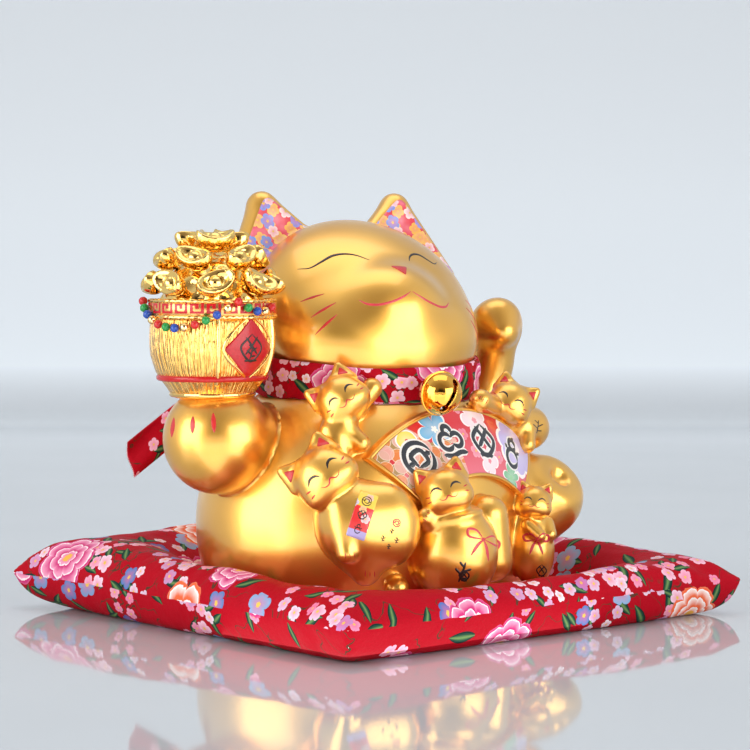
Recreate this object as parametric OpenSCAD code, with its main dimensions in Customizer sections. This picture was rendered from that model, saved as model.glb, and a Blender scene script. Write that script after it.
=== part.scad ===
// Lucky cat money box: a hollow glazed cat with five kittens, a fan, a barrel
// of ingots, a cloth collar with a jingle bell, and a loose square cushion.
// Millimetres. +Z up. The cat looks along -Y and its left side is +X.
// Origin: centre of the cushion's underside.

/* [Cushion] */
// side of the square cushion, corner to corner along one edge
cushion_side = 280; // [260:5:300]
// height of the seam above the table
seam_height = 18; // [14:1:22]
// thickness of the cotton cover
cover_thickness = 1.2; // [0.8:0.1:2]

/* [Cat body] */
// half width of the belly
body_half_width = 100; // [90:1:110]
// half depth of the belly
body_half_depth = 82; // [75:1:90]
// half height of the belly before the base is cut flat
body_half_height = 88; // [80:1:95]
// height of the cat's base above the table
base_height = 12; // [10:1:15]
// thickness of the cast wall
wall = 5; // [3.5:0.5:7]

/* [Head] */
// radius of the head across the cheeks
head_radius = 61; // [55:1:65]
// half thickness of the head from face to nape
head_half_thickness = 37; // [33:1:42]
// how far the face is tipped up from level
face_tip = 48; // [35:1:55]
// how far the head is turned to the cat's right
head_turn = 14; // [0:1:20]
// length of the coin slot
slot_length = 38; // [32:1:42]
// width of the coin slot
slot_width = 3.6; // [3:0.2:4.5]

/* [Barrel] */
// radius at the barrel's waist
barrel_radius = 32; // [28:1:35]
// height of the barrel
barrel_height = 50; // [45:1:55]

/* [Bell] */
// outer radius of the bell
bell_radius = 11; // [9:0.5:12]
// thickness of the bell's sheet metal
bell_wall = 0.8; // [0.5:0.1:1.2]
// radius of the loose pellet
pellet_radius = 2.4; // [2:0.1:3]

/* [Hidden] */

glue = 0.1;
gold = [0.85, 0.62, 0.22];
bright_gold = [0.95, 0.72, 0.25];
red_cotton = [0.72, 0.07, 0.12];

body_centre = [0, 2, 50];
head_centre = [-4.6, 1.4, 158];
neck_height = 122;
barrel_base = [-104, 6, 118];
ball_centre = [-102, 4, 97];
ball_radius = 28;
bell_centre = [-16.7, -70.2, 120];
collar_centre = [-4.6, 1.4, 128];
stopper_radius = 14;

// ---------- shared shapes ----------

// a body of revolution with an elliptical outline, radius r, half height h
module oval(r, h) {
  outline = [for (i = [1:17]) [r * cos(i * 10 - 90), h * sin(i * 10 - 90)]];
  rotate_extrude($fn = 72) polygon(concat([[0, -h]], outline, [[0, h]]));
}

// an ellipsoid with three half lengths
module ellipsoid(x, y, z) {
  scale([x / 100, y / 100, z / 100]) sphere(r = 100, $fn = 96);
}

// turns a shape that stands on +Z to point along v
module aim(v) {
  rotate([0, acos(v[2] / norm(v)), atan2(v[1], v[0])]) children();
}

// a round limb from a to b with a rounded end at each, turned in one piece
module limb(a, b, ra, rb) {
  d = norm(b - a);
  low = [for (i = [1:8]) [ra * cos(i * 11.25 - 90), ra * sin(i * 11.25 - 90)]];
  high = [for (i = [0:7]) [rb * cos(i * 11.25), d + rb * sin(i * 11.25)]];
  outline = concat([[0, -ra]], low, high, [[0, d + rb]]);
  translate(a) aim(b - a) rotate_extrude($fn = 48) polygon(outline);
}

// a point on the belly: angle round from the front, height, distance outward
function on_belly(turn, z, out) =
  let (s = sqrt(1 - pow((z - body_centre[2]) / body_half_height, 2)))
  [(body_half_width * s + out) * sin(turn),
   body_centre[1] - (body_half_depth * s + out) * cos(turn), z];

// the belly's outside, grown by g
module belly(g) {
  translate(body_centre)
    ellipsoid(body_half_width + g, body_half_depth + g, body_half_height + g);
}

// the head's own frame: x to the cat's left, y to the nape, z up
module at_head() {
  translate(head_centre) rotate([0, 0, -head_turn]) children();
}

// the head's outside, grown by g
module skull(g) {
  at_head() rotate([face_tip, 0, 0])
    oval(head_radius + g, head_half_thickness + g);
}

// ---------- cushion ----------

corner_rays = 48;

// outline of the seam: straight sides pulled in between pointed corners
function seam_point(a) =
  let (c = cos(a), s = sin(a), m = max(abs(c), abs(s)))
  let (q = min(abs(c), abs(s)) / m)
  let (pull = 1 - 0.035 * (1 - q * q))
  [c, s] * (cushion_side / 2 * pull / m);

// outline of the hollow that the cat sits in, longer at the front
function hollow_point(a) =
  let (c = cos(a), s = sin(a), front = s < 0)
  let (p = front ? 4 : 2, depth = front ? 104 : 77.5)
  [c, s] * pow(pow(abs(c) / 93, p) + pow(abs(s) / depth, p), -1 / p);

function ring_point(a, u) =
  hollow_point(a) + (seam_point(a) - hollow_point(a)) * u;

// how far from hollow to seam each ring lies, and its share of the full rise
ring_place = [0, 0.06, 0.13, 0.21, 0.33, 0.5, 0.67, 0.82, 0.94, 1];
ring_rise = [0, 0.2, 0.46, 0.7, 0.92, 1, 0.93, 0.75, 0.46, 0.25];
under_rise = [0, 0, 0, 0, 0, 0, 0, 0.08, 0.4, 1];

hollow_height = base_height - 0.3;
function crown(a) = 22 + 5 * sin(a);

function top_height(a, i) =
  i == 9 ? seam_height : hollow_height + crown(a) * ring_rise[i];

function under_height(i) = seam_height * under_rise[i];

// one surface of the cushion: centre point, then ring after ring
function surface_points(top, inset) =
  concat(
    [[0, 0, top ? hollow_height - inset : inset]],
    [for (i = [0:9]) for (k = [0:corner_rays - 1])
      let (a = k * 360 / corner_rays)
      let (xy = ring_point(a, ring_place[i]))
      let (d = i == 9 ? 0 : inset)
      [xy[0], xy[1], top ? top_height(a, i) - d : under_height(i) + d]]
  );

function at_ray(base, i, k) = base + 1 + i * corner_rays + k % corner_rays;

function surface_faces(base, flip) =
  concat(
    [for (k = [0:corner_rays - 1])
      flip ? [base, at_ray(base, 0, k), at_ray(base, 0, k + 1)]
           : [base, at_ray(base, 0, k + 1), at_ray(base, 0, k)]],
    [for (i = [0:8]) for (k = [0:corner_rays - 1]) for (half = [0, 1])
      let (p = at_ray(base, i, k), q = at_ray(base, i, k + 1))
      let (r = at_ray(base, i + 1, k + 1), t = at_ray(base, i + 1, k))
      let (f = half == 0 ? [p, q, r] : [p, r, t])
      flip ? [f[0], f[2], f[1]] : f]
  );

// a closed layer between two surfaces that meet along the seam
module layer(upper_top, upper_inset, lower_top, lower_inset) {
  upper = surface_points(upper_top, upper_inset);
  lower = surface_points(lower_top, lower_inset);
  count = len(upper);
  edge = 1 + 9 * corner_rays;
  lower_faces = surface_faces(count, true);
  joined = [for (f = lower_faces) [for (v = f) v >= count + edge ? v - count : v]];
  polyhedron(
    points = concat(upper, [for (i = [0:edge - 1]) lower[i]]),
    faces = concat([for (f = surface_faces(0, false)) [f[0], f[1], f[2]]], joined)
  );
}

module cushion_top_cover() {
  color(red_cotton) layer(true, 0, true, cover_thickness);
}

module cushion_bottom_cover() {
  color(red_cotton) layer(false, cover_thickness, false, 0);
}

module cushion_filling() {
  color("white") layer(true, cover_thickness, false, cover_thickness);
}

// ---------- castings of the cat ----------

module cat_body() {
  color(gold) difference() {
    belly(0);
    translate([0, 0, base_height - 100]) cylinder(r = 150, h = 100, $fn = 96);
    translate([0, 0, neck_height]) cylinder(r = 150, h = 100, $fn = 96);
    difference() {
      belly(-wall);
      translate([0, 0, base_height + wall - 100]) cylinder(r = 150, h = 100, $fn = 96);
    }
    translate([0, 0, base_height - 1]) cylinder(r = stopper_radius, h = wall + 2, $fn = 64);
    translate([0, 0, base_height - 1]) cylinder(r = stopper_radius + 3, h = 3.5, $fn = 64);
  }
}

module cat_head() {
  color(gold) difference() {
    skull(0);
    skull(-wall);
    translate([0, 0, neck_height + glue - 100]) cylinder(r = 150, h = 100, $fn = 96);
    at_head() translate([-slot_length / 2, 10, 22])
      cube([slot_length, 60, slot_width]);
  }
}

// side -1 is the cat's right ear, +1 its left ear
module ear(side) {
  color(gold) difference() {
    at_head() hull() {
      translate([side * 39, 43, 61]) sphere(r = 6.5, $fn = 24);
      translate([side * 57, 27, 24]) sphere(r = 8, $fn = 24);
      translate([side * 16, 33, 36]) sphere(r = 8, $fn = 24);
      translate([side * 42, 42, 26]) sphere(r = 9, $fn = 24);
    }
    skull(glue);
  }
}

module ear_right() {
  ear(-1);
}

module ear_left() {
  ear(1);
}

// the right arm ends in a ball-shaped paw that carries the barrel
module barrel_arm() {
  color(gold) difference() {
    union() {
      translate(ball_centre) sphere(r = ball_radius, $fn = 96);
      limb([-72, 4, 88], ball_centre, 20, 24);
    }
    belly(glue);
    translate(barrel_base - [0, 0, 0.1]) cylinder(r = 30, h = 40, $fn = 64);
  }
}

module waving_arm() {
  color(gold) difference() {
    union() {
      limb([78, 4, 96], [86, -4, 132], 16, 10);
      limb([86, -3, 128], [82, -10, 154], 9.6, 14);
      limb([82, -9, 155], [79, -19, 149], 12, 8.6);
    }
    belly(glue);
  }
}

// a short leg whose round sole looks out to the side
module leg_shape(g) {
  limb([47, -38, 43], [71, -56, 60], 27 + g, 22 + g);
}

module left_leg() {
  color(gold) difference() {
    leg_shape(0);
    belly(glue);
    translate([72.2, -70, 72.6]) aim([0.066, -0.753, 0.68])
      cylinder(r = 30, h = 20, $fn = 64);
  }
}

module tail() {
  color(gold) difference() {
    union() {
      limb(on_belly(176, 60, 0), on_belly(156, 61, 1), 8.6, 11);
      limb(on_belly(156, 61.5, 1), on_belly(146, 88, 1.5), 10.2, 8);
    }
    belly(glue);
  }
}

fan_pivot = [2, 27];
fan_outer = 85;
fan_inner = 50;
fan_spread = 44;

// the fan's outline seen from the front, as a slab that crosses the belly
module fan_outline(g) {
  span = fan_spread + g / 1.5;
  arc = [for (i = [-12:12]) [sin(i * span / 12), cos(i * span / 12)]];
  outer = [for (p = arc) fan_pivot + p * (fan_outer + g)];
  inner = [for (i = [0:24]) fan_pivot + arc[24 - i] * (fan_inner - g)];
  rotate([90, 0, 0])
    linear_extrude(height = 120) polygon(concat(outer, inner));
}

module fan_plaque() {
  color("crimson") difference() {
    intersection() {
      belly(3.2);
      fan_outline(0);
    }
    belly(glue);
  }
}

module fan_space() {
  intersection() {
    belly(3.2 + glue);
    fan_outline(glue);
  }
}

// ---------- kittens ----------

module kitten_ear(r, side) {
  translate([side * r * 0.62, 0, r * 0.55]) rotate([0, side * 22, 0])
    cylinder(r1 = r * 0.36, r2 = 1, h = r * 0.6, $fn = 32);
}

// a kitten's head with its two ears, turned and rolled
module kitten_head(p, r, turn, roll, g) {
  translate(p) rotate([0, roll, turn]) {
    oval(r * 1.12 + g, r * 0.94 + g);
    kitten_ear(r, -1);
    kitten_ear(r, 1);
  }
}

module upper_right_shape(g) {
  kitten_head([-60, -44, 117], 12.5, -41, -43, g);
  limb([-63, -46, 107], [-65, -46, 99], 9 + g, 9.4 + g);
  limb([-52, -45, 112], [-42, -46, 123], 5 + g, 5.2 + g);
}

module reclining_shape(g) {
  kitten_head([-83, -57, 80], 15, -41, -46, g);
  translate([-69, -65, 56]) rotate([0, -20, -38]) oval(22 + g, 25 + g);
  limb([-66, -70, 58], [-57, -76, 59], 15 + g, 14 + g);
  limb([-68, -66, 40], [-67, -69, 34], 9 + g, 6.5 + g);
}

module seated_shape(g) {
  kitten_head([-28, -86, 71], 12.8, -41, -19, g);
  translate([-19, -84, 41]) rotate([0, -3, 0]) oval(20.5 + g, 25 + g);
  limb([4, -85, 57], [6, -85, 34], 10 + g, 9 + g);
  limb([-36, -84, 58], [-43, -86, 61], 6 + g, 5.5 + g);
}

module small_shape(g) {
  kitten_head([41, -80, 61], 8.6, -41, 6, g);
  translate([43, -76, 38]) rotate([0, 5, 0]) oval(12 + g, 21 + g);
}

module upper_left_shape(g) {
  kitten_head([46, -57, 112], 11, -41, 29, g);
  limb([52, -53, 102], [65, -51, 98], 10 + g, 12 + g);
  limb([37, -57, 110], [20.5, -60.5, 114.5], 5 + g, 6.4 + g);
}

module kitten_seated() {
  color(gold) difference() {
    seated_shape(0);
    belly(glue);
    fan_space();
  }
}

module kitten_reclining() {
  color(gold) difference() {
    reclining_shape(0);
    belly(glue);
    seated_shape(glue);
    fan_space();
  }
}

module kitten_upper_right() {
  color(gold) difference() {
    upper_right_shape(0);
    belly(glue);
    fan_space();
  }
}

module kitten_small() {
  color(gold) difference() {
    small_shape(0);
    belly(glue);
    leg_shape(glue);
    fan_space();
  }
}

module kitten_upper_left() {
  color(gold) difference() {
    upper_left_shape(0);
    belly(glue);
    fan_space();
  }
}

// ---------- barrel of ingots ----------

module barrel() {
  top = barrel_height;
  color(bright_gold) translate(barrel_base) rotate_extrude($fn = 96) polygon([
    [0, 0], [20, 0], [22, 3], [24.5, 7], [28, 12], [30.5, 18], [barrel_radius, 26],
    [barrel_radius, 33], [31.5, 41], [32.5, 43], [32.5, top - 3], [31, top],
    [27.5, top], [27.5, 40], [28, 30], [26, 18], [20, 7], [0, 5]
  ]);
}

mound_base = barrel_base + [0, 0, 6];

// the plain core that the ingots are stuck to, filling the barrel
module ingot_mound() {
  color(bright_gold) translate(mound_base) rotate_extrude($fn = 72) polygon([
    [0, 0], [16, 1.5], [25.4, 12], [27.3, 24], [27.2, 34], [27.2, 48],
    [24, 56], [18, 63], [10, 67], [0, 68]
  ]);
}

// one boat-shaped ingot with a round boss in its middle
module ingot() {
  translate([0, 0, 1]) sphere(r = 5, $fn = 32);
  difference() {
    rotate([90, 0, 0]) translate([0, 4, -4.2]) cylinder(r = 10, h = 8.4, $fn = 48);
    rotate([90, 0, 0]) translate([0, 9.4, -10]) cylinder(r = 10.6, h = 20, $fn = 48);
  }
}

// a ring of ingots round the mound, tipped outward
module ingot_ring(count, radius, height, tip, start) {
  for (i = [0:count - 1]) {
    a = start + i * 360 / count;
    translate([barrel_base[0], barrel_base[1], height]) rotate([0, 0, a])
      translate([radius, 0, 0]) rotate([0, tip, 0]) rotate([0, 0, 90]) ingot();
  }
}

module gold_ingots() {
  color(bright_gold) difference() {
    union() {
      ingot_ring(8, 30.5, 175, 62, 10);
      ingot_ring(6, 23, 187, 42, 30);
      ingot_ring(3, 11, 196, 16, 0);
    }
    translate(mound_base) rotate_extrude($fn = 72) polygon([
      [0, -2], [27.4, -2], [27.4, 48], [24.2, 56.1], [18.1, 63.1], [10, 67.1],
      [0, 68.1]
    ]);
    barrel_outside(glue);
  }
}

module barrel_outside(g) {
  translate(barrel_base) cylinder(r = 32.5 + g, h = barrel_height + g, $fn = 96);
}

// beads hang round the barrel's rim in swags
bead_radius = 2.3;
function bead_angle(i) = -214 + i * 9;
function bead_drop(i) = 13 * sin(min(i, 12) * 15) + (i > 12 ? 5 * sin((i - 12) * 36) : 0);

module bead(i) {
  a = bead_angle(i);
  r = 32.5 + bead_radius + 0.15;
  translate(barrel_base + [r * cos(a), r * sin(a), barrel_height - 1 - bead_drop(i)])
    sphere(r = bead_radius, $fn = 24);
}

module bead_set(first) {
  for (i = [first:4:16]) bead(i);
}

module beads_red() {
  color("red") bead_set(0);
}

module beads_green() {
  color("green") bead_set(1);
}

module beads_blue() {
  color("blue") bead_set(2);
}

module beads_gold() {
  color(bright_gold) bead_set(3);
}

// ---------- collar ----------

function ellipse(x, y) = [for (i = [0:71]) [x * cos(i * 5), y * sin(i * 5)]];

module collar_band() {
  color(red_cotton) difference() {
    translate(collar_centre) rotate([7, 0, -head_turn]) translate([0, 0, -11])
      linear_extrude(height = 22) difference() {
        polygon(ellipse(62, 56));
        polygon(ellipse(58, 52));
      }
    belly(glue);
    skull(glue);
    upper_right_shape(glue);
    upper_left_shape(glue);
  }
}

knot_centre = [9, 62, 133];

module collar_knot() {
  color(red_cotton) difference() {
    translate(knot_centre) rotate([0, 90, -head_turn]) oval(9, 13);
    translate(collar_centre) rotate([7, 0, -head_turn]) translate([0, 0, -11])
      linear_extrude(height = 22) polygon(ellipse(62.1, 56.1));
    belly(glue);
    skull(glue);
  }
}

// a flat ribbon along a path; side is half its width, thick its thickness
module ribbon(path, side, thick) {
  n = len(path);
  pts = [for (i = [0:n - 1]) for (c = [[-1, -1], [1, -1], [1, 1], [-1, 1]])
    path[i] + side[i] * c[0] + thick[i] * c[1]];
  walls = [for (i = [0:n - 2]) for (k = [0:3]) for (half = [0, 1])
    let (a = i * 4 + k, b = i * 4 + (k + 1) % 4)
    half == 0 ? [a, a + 4, b + 4] : [a, b + 4, b]];
  m = (n - 1) * 4;
  caps = [[0, 1, 2], [0, 2, 3], [m, m + 2, m + 1], [m, m + 3, m + 2]];
  polyhedron(points = pts, faces = concat(walls, caps));
}

module collar_tail_right() {
  color(red_cotton) ribbon(
    [[-6, 68, 132], [-30, 74, 125], [-55, 78, 111], [-78, 82, 95], [-98, 86, 81]],
    [for (s = [7, 8.5, 9.3, 9.5, 9.5]) [0, 0.3, 1] * s],
    [for (i = [0:4]) [0.1, 1, -0.3] * 0.7]
  );
}

module collar_tail_left() {
  color(red_cotton) ribbon(
    [[25, 72, 130], [35, 76, 118], [40, 82, 102], [42, 90, 86], [42, 95, 70]],
    [for (s = [7, 8.5, 9.3, 9.5, 9.5]) [1, -0.1, 0.1] * s],
    [for (i = [0:4]) [0.1, 1, 0.3] * 0.7]
  );
}

// ---------- bell ----------

bell_out = [-0.138, -0.982, -0.13];
hang_point = bell_centre - bell_out * (bell_radius + 2);

// the bell's own frame: z out from the collar, x along the slit
module at_bell() {
  translate(bell_centre) aim(bell_out) rotate([0, 0, -25]) children();
}

module wire_ring(radius, wire) {
  rotate_extrude($fn = 48) translate([radius, 0]) circle(r = wire, $fn = 24);
}

// a cord loop sewn to the collar that passes through the bell's loop
module bell_hanger() {
  color("firebrick") difference() {
    translate(hang_point - bell_out * 3) wire_ring(3, 0.5);
    collar_space();
  }
}

// everything inside the collar's outer face
module collar_space() {
  translate(collar_centre) rotate([7, 0, -head_turn]) translate([0, 0, -12])
    linear_extrude(height = 24) polygon(ellipse(62.1, 56.1));
}

module bell_half(front) {
  difference() {
    sphere(r = bell_radius, $fn = 72);
    sphere(r = bell_radius - bell_wall, $fn = 72);
    translate([0, 0, front ? -50 : 0]) cylinder(r = 20, h = 50, $fn = 48);
  }
}

module bell_back_shell() {
  color("orange") at_bell() {
    translate([0, 0, -0.05]) bell_half(false);
    translate([0, 0, -0.9]) difference() {
      cylinder(r = bell_radius + 0.6, h = 0.8, $fn = 72);
      translate([0, 0, -1]) cylinder(r = bell_radius - 0.2, h = 3, $fn = 72);
    }
  }
}

module bell_front_shell() {
  color("orange") at_bell() difference() {
    bell_half(true);
    translate([-7, -0.8, 0]) cube([14, 1.6, 20]);
    translate([7, 0, 0]) cylinder(r = 1.9, h = 20, $fn = 32);
    translate([-7, 0, 0]) cylinder(r = 1.9, h = 20, $fn = 32);
  }
}

module bell_loop() {
  color("orange") difference() {
    translate(hang_point) aim([bell_out[1], -bell_out[0], 0]) wire_ring(2.3, 0.5);
    translate(bell_centre) sphere(r = bell_radius + 0.08, $fn = 72);
  }
}

module bell_pellet() {
  color("silver")
    translate(bell_centre - [0, 0, bell_radius - bell_wall - pellet_radius - 0.3])
    sphere(r = pellet_radius, $fn = 32);
}

// ---------- base ----------

module rubber_stopper() {
  color("white") translate([0, 0, base_height]) rotate_extrude($fn = 64) polygon([
    [0, 1], [5, 1], [6, 0.3], [16.6, 0.3], [16.6, 2.4], [13.95, 2.4],
    [13.95, 5], [13.2, 8], [11, 8], [10.5, 3], [0, 3]
  ]);
}

cushion_top_cover();
cushion_bottom_cover();
cushion_filling();
cat_body();
cat_head();
ear_right();
ear_left();
barrel_arm();
waving_arm();
left_leg();
tail();
fan_plaque();
kitten_upper_right();
kitten_reclining();
kitten_seated();
kitten_upper_left();
kitten_small();
barrel();
ingot_mound();
gold_ingots();
beads_red();
beads_green();
beads_blue();
beads_gold();
collar_band();
collar_knot();
collar_tail_right();
collar_tail_left();
bell_hanger();
bell_back_shell();
bell_front_shell();
bell_loop();
bell_pellet();
rubber_stopper();
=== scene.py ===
"""Lucky cat with kittens on a printed cushion: the visual model in the shared frame.

Lengths in the modelling functions are millimetres and are turned into metres when a mesh is made.
The cat looks along -Y, its left side is +X, and the cushion's underside is at z = 0.
"""

import math

import bmesh
import bpy
import mathutils.noise
import numpy as np
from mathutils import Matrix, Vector
from mathutils.bvhtree import BVHTree


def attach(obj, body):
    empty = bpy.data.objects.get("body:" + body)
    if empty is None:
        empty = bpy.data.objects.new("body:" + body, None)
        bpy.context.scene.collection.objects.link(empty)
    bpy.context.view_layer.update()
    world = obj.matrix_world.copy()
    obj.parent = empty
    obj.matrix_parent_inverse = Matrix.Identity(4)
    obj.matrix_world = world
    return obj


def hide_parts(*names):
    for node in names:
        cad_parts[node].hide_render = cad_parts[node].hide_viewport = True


MM = 0.001

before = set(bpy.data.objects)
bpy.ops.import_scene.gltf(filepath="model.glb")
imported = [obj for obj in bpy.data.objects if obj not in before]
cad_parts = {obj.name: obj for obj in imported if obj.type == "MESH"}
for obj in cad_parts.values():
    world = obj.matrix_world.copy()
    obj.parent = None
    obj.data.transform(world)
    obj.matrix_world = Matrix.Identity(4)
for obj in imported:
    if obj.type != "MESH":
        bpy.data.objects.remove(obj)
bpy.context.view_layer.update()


# ---------------------------------------------------------------- camera

CAMERA_AZIMUTH = -41.607
CAMERA_ELEVATION = 2.49
CAMERA_DISTANCE = 1.300
CAMERA_TARGET = Vector((0.0006, -0.0005, 0.1266))
CAMERA_LENS = 116.75


def camera_back(azimuth, elevation):
    a, e = math.radians(azimuth), math.radians(elevation)
    return Vector((math.sin(a) * math.cos(e), -math.cos(a) * math.cos(e), math.sin(e)))


def make_camera():
    data = bpy.data.cameras.new("camera")
    data.lens = CAMERA_LENS
    data.sensor_width = 36
    camera = bpy.data.objects.new("camera", data)
    back = camera_back(CAMERA_AZIMUTH, CAMERA_ELEVATION)
    camera.location = CAMERA_TARGET + back * CAMERA_DISTANCE
    camera.rotation_mode = "QUATERNION"
    camera.rotation_quaternion = (-back).to_track_quat("-Z", "Y")
    data.clip_start, data.clip_end = 0.01, 50
    bpy.context.scene.collection.objects.link(camera)
    bpy.context.scene.camera = camera


make_camera()


# ---------------------------------------------------------------- shapes as distance fields


def vec(*v):
    return np.array(v, float)


def unit(v):
    return v / np.linalg.norm(v)


def ball(p, c, r):
    return np.linalg.norm(p - vec(*c), axis=1) - r


def ellipsoid(p, c, r, turn=None):
    """Distance to an ellipsoid; turn is a 3x3 matrix whose columns are its axes."""
    q = p - vec(*c)
    if turn is not None:
        q = q @ turn
    r = vec(*r)
    k0 = np.linalg.norm(q / r, axis=1)
    k1 = np.linalg.norm(q / (r * r), axis=1) + 1e-9
    return k0 * (k0 - 1) / k1


def limb(p, a, b, ra, rb):
    """Distance to a round limb from a to b, of radius ra at a and rb at b."""
    a, b = vec(*a), vec(*b)
    ba = b - a
    length2 = ba @ ba
    rr = ra - rb
    a2 = length2 - rr * rr
    il2 = 1 / length2
    pa = p - a
    y = pa @ ba
    z = y - length2
    x2 = ((pa * length2 - np.outer(y, ba)) ** 2).sum(1)
    y2, z2 = y * y * length2, z * z * length2
    k = np.sign(rr) * rr * rr * x2
    far = np.sqrt(x2 + z2) * il2 - rb
    near = np.sqrt(x2 + y2) * il2 - ra
    side = (np.sqrt(x2 * a2 * il2) + y * rr) * il2 - ra
    out = np.where(np.sign(z) * a2 * z2 > k, far, side)
    return np.where(np.sign(y) * a2 * y2 < k, near, out)


def slab(p, a, b, c, r):
    """Distance to a rounded triangular plate with corners a, b, c and half thickness r."""
    a, b, c = vec(*a), vec(*b), vec(*c)
    n = np.cross(b - a, a - c)
    edges = ((a, b - a), (b, c - b), (c, a - c))
    inside = sum(np.sign((p - q) @ np.cross(e, n)) for q, e in edges) >= 2
    gap = []
    for q, e in edges:
        t = np.clip(((p - q) @ e) / (e @ e), 0, 1)
        gap.append((((p - q) - t[:, None] * e) ** 2).sum(1))
    flat = ((p - a) @ n) ** 2 / (n @ n)
    return np.sqrt(np.where(inside, flat, np.minimum.reduce(gap))) - r


def blend(a, b, k):
    """Smooth union: the crease between a and b is filled with a fillet of about k."""
    h = np.clip(0.5 + 0.5 * (b - a) / k, 0, 1)
    return b * (1 - h) + a * h - k * h * (1 - h)


def carve(a, b, k):
    """a with b taken away, with a rounded edge of about k."""
    return -blend(-a, b, k)


def turn_about(axis, degrees):
    """The 3x3 rotation about axis 0, 1 or 2."""
    a = math.radians(degrees)
    u, v = (axis + 1) % 3, (axis + 2) % 3
    out = np.eye(3)
    out[u, u] = out[v, v] = math.cos(a)
    out[v, u], out[u, v] = math.sin(a), -math.sin(a)
    return out


def turn_x(degrees):
    return turn_about(0, degrees)


def turn_y(degrees):
    return turn_about(1, degrees)


def turn_z(degrees):
    return turn_about(2, degrees)


def gradient(field, p):
    """The field's slope at the points p, by differences over 0.1 mm."""
    h = 0.05
    out = np.empty_like(p)
    for k in range(3):
        d = np.zeros(3)
        d[k] = h
        out[:, k] = (field(p + d) - field(p - d)) / (2 * h)
    return out


def surface_of(field, low, high, step):
    """Vertices and quads of the field's zero surface, by surface nets and Newton steps."""
    low, high = vec(*low), vec(*high)
    count = np.ceil((high - low) / step).astype(int) + 1
    axes = [low[k] + step * np.arange(count[k]) for k in range(3)]
    samples = np.stack(np.meshgrid(*axes, indexing="ij"), -1).reshape(-1, 3)
    d = np.concatenate([field(part) for part in np.array_split(samples, 8)]).reshape(count)
    inside = d < 0
    total = np.zeros(tuple(count - 1) + (3,))
    hits = np.zeros(tuple(count - 1))
    cells = [slice(0, -1), slice(1, None)]
    for axis in range(3):
        for s in range(4):
            a = [None] * 3
            others = [k for k in range(3) if k != axis]
            a[others[0]], a[others[1]] = cells[s & 1], cells[s >> 1]
            a[axis] = cells[0]
            b = list(a)
            b[axis] = cells[1]
            da, db = d[tuple(a)], d[tuple(b)]
            cross = (da < 0) != (db < 0)
            t = np.where(cross, da / np.where(cross, da - db, 1), 0)
            point = np.zeros(da.shape + (3,))
            point[..., others[0]] = s & 1
            point[..., others[1]] = s >> 1
            point[..., axis] = t
            total += point * cross[..., None]
            hits += cross
    live = hits > 0
    index = np.full(live.shape, -1)
    index[live] = np.arange(live.sum())
    where = np.argwhere(live)
    verts = low + step * (where + total[live] / hits[live][:, None])
    quads = []
    for axis in range(3):
        others = [k for k in range(3) if k != axis]
        a = [slice(1, -1)] * 3
        a[axis] = slice(0, -1)
        b = list(a)
        b[axis] = slice(1, None)
        change = inside[tuple(a)] != inside[tuple(b)]
        at = np.argwhere(change)
        if len(at) == 0:
            continue
        at[:, others] += 1
        solid = inside[at[:, 0], at[:, 1], at[:, 2]]
        corner = []
        for u, v in ((-1, -1), (0, -1), (0, 0), (-1, 0)):
            c = at.copy()
            c[:, others[0]] += u
            c[:, others[1]] += v
            corner.append(index[c[:, 0], c[:, 1], c[:, 2]])
        quad = np.stack(corner, 1)
        flip = solid if axis != 1 else ~solid
        quad[~flip] = quad[~flip][:, ::-1]
        quads.append(quad)
    quads = np.concatenate(quads)
    for _ in range(3):
        g = gradient(field, verts)
        g2 = (g * g).sum(1) + 1e-6
        move = -(field(verts) / g2)[:, None] * g
        verts = verts + np.clip(move, -0.5 * step, 0.5 * step)
    return verts, quads


# ---------------------------------------------------------------- meshes and pieces


def new_object(name, verts, faces, material, uv=None):
    """A smooth mesh from points in millimetres, with an optional flat coordinate for each."""
    mesh = bpy.data.meshes.new(name)
    points = [tuple(v) for v in np.asarray(verts, float) * MM]
    mesh.from_pydata(points, [], [tuple(int(i) for i in f) for f in faces])
    if uv is not None:
        layer = mesh.uv_layers.new(name="flat")
        flat = np.asarray(uv, float)
        loops = np.empty(len(mesh.loops), int)
        mesh.loops.foreach_get("vertex_index", loops)
        layer.data.foreach_set("uv", flat[loops].ravel())
    mesh.polygons.foreach_set("use_smooth", [True] * len(mesh.polygons))
    mesh.validate()
    mesh.update()
    mesh.materials.append(material)
    o = bpy.data.objects.new(name, mesh)
    bpy.context.scene.collection.objects.link(o)
    return o


def grid(rows, cols, base=0, flip=False, close_rows=False, close_cols=False):
    """Quads over rows x cols points in row order; either way can be closed into a ring."""
    faces = []
    for i in range(rows if close_rows else rows - 1):
        a, b = base + i * cols, base + (i + 1) % rows * cols
        for j in range(cols if close_cols else cols - 1):
            k = (j + 1) % cols
            face = (a + j, b + j, b + k, a + k)
            faces.append(face[:1] + face[:0:-1] if flip else face)
    return faces


def closed_sheet(rows, cols, flip=False):
    """Faces of a thin sheet: a front and then a back grid of points, joined along the rim."""
    back = rows * cols
    rim = [i * cols for i in range(rows)] + [(rows - 1) * cols + j for j in range(1, cols)]
    rim += [i * cols + cols - 1 for i in reversed(range(rows - 1))] + list(range(cols - 2, 0, -1))
    if flip:
        rim = rim[:1] + rim[:0:-1]
    sides = [(b, a, back + a, back + b) for a, b in zip(rim, rim[1:] + rim[:1])]
    return grid(rows, cols, 0, flip) + grid(rows, cols, back, not flip) + sides


def piece(o, body, slot, nodes=()):
    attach(o, body)
    if nodes:
        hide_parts(*nodes)
    return o


def cast(name, field, low, high, step, material, slot="pearl_gold_glaze", nodes=(), body="cat"):
    verts, quads = surface_of(field, low, high, step)
    o = new_object(name, verts, quads, material)
    return piece(o, body, slot, nodes)


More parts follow.
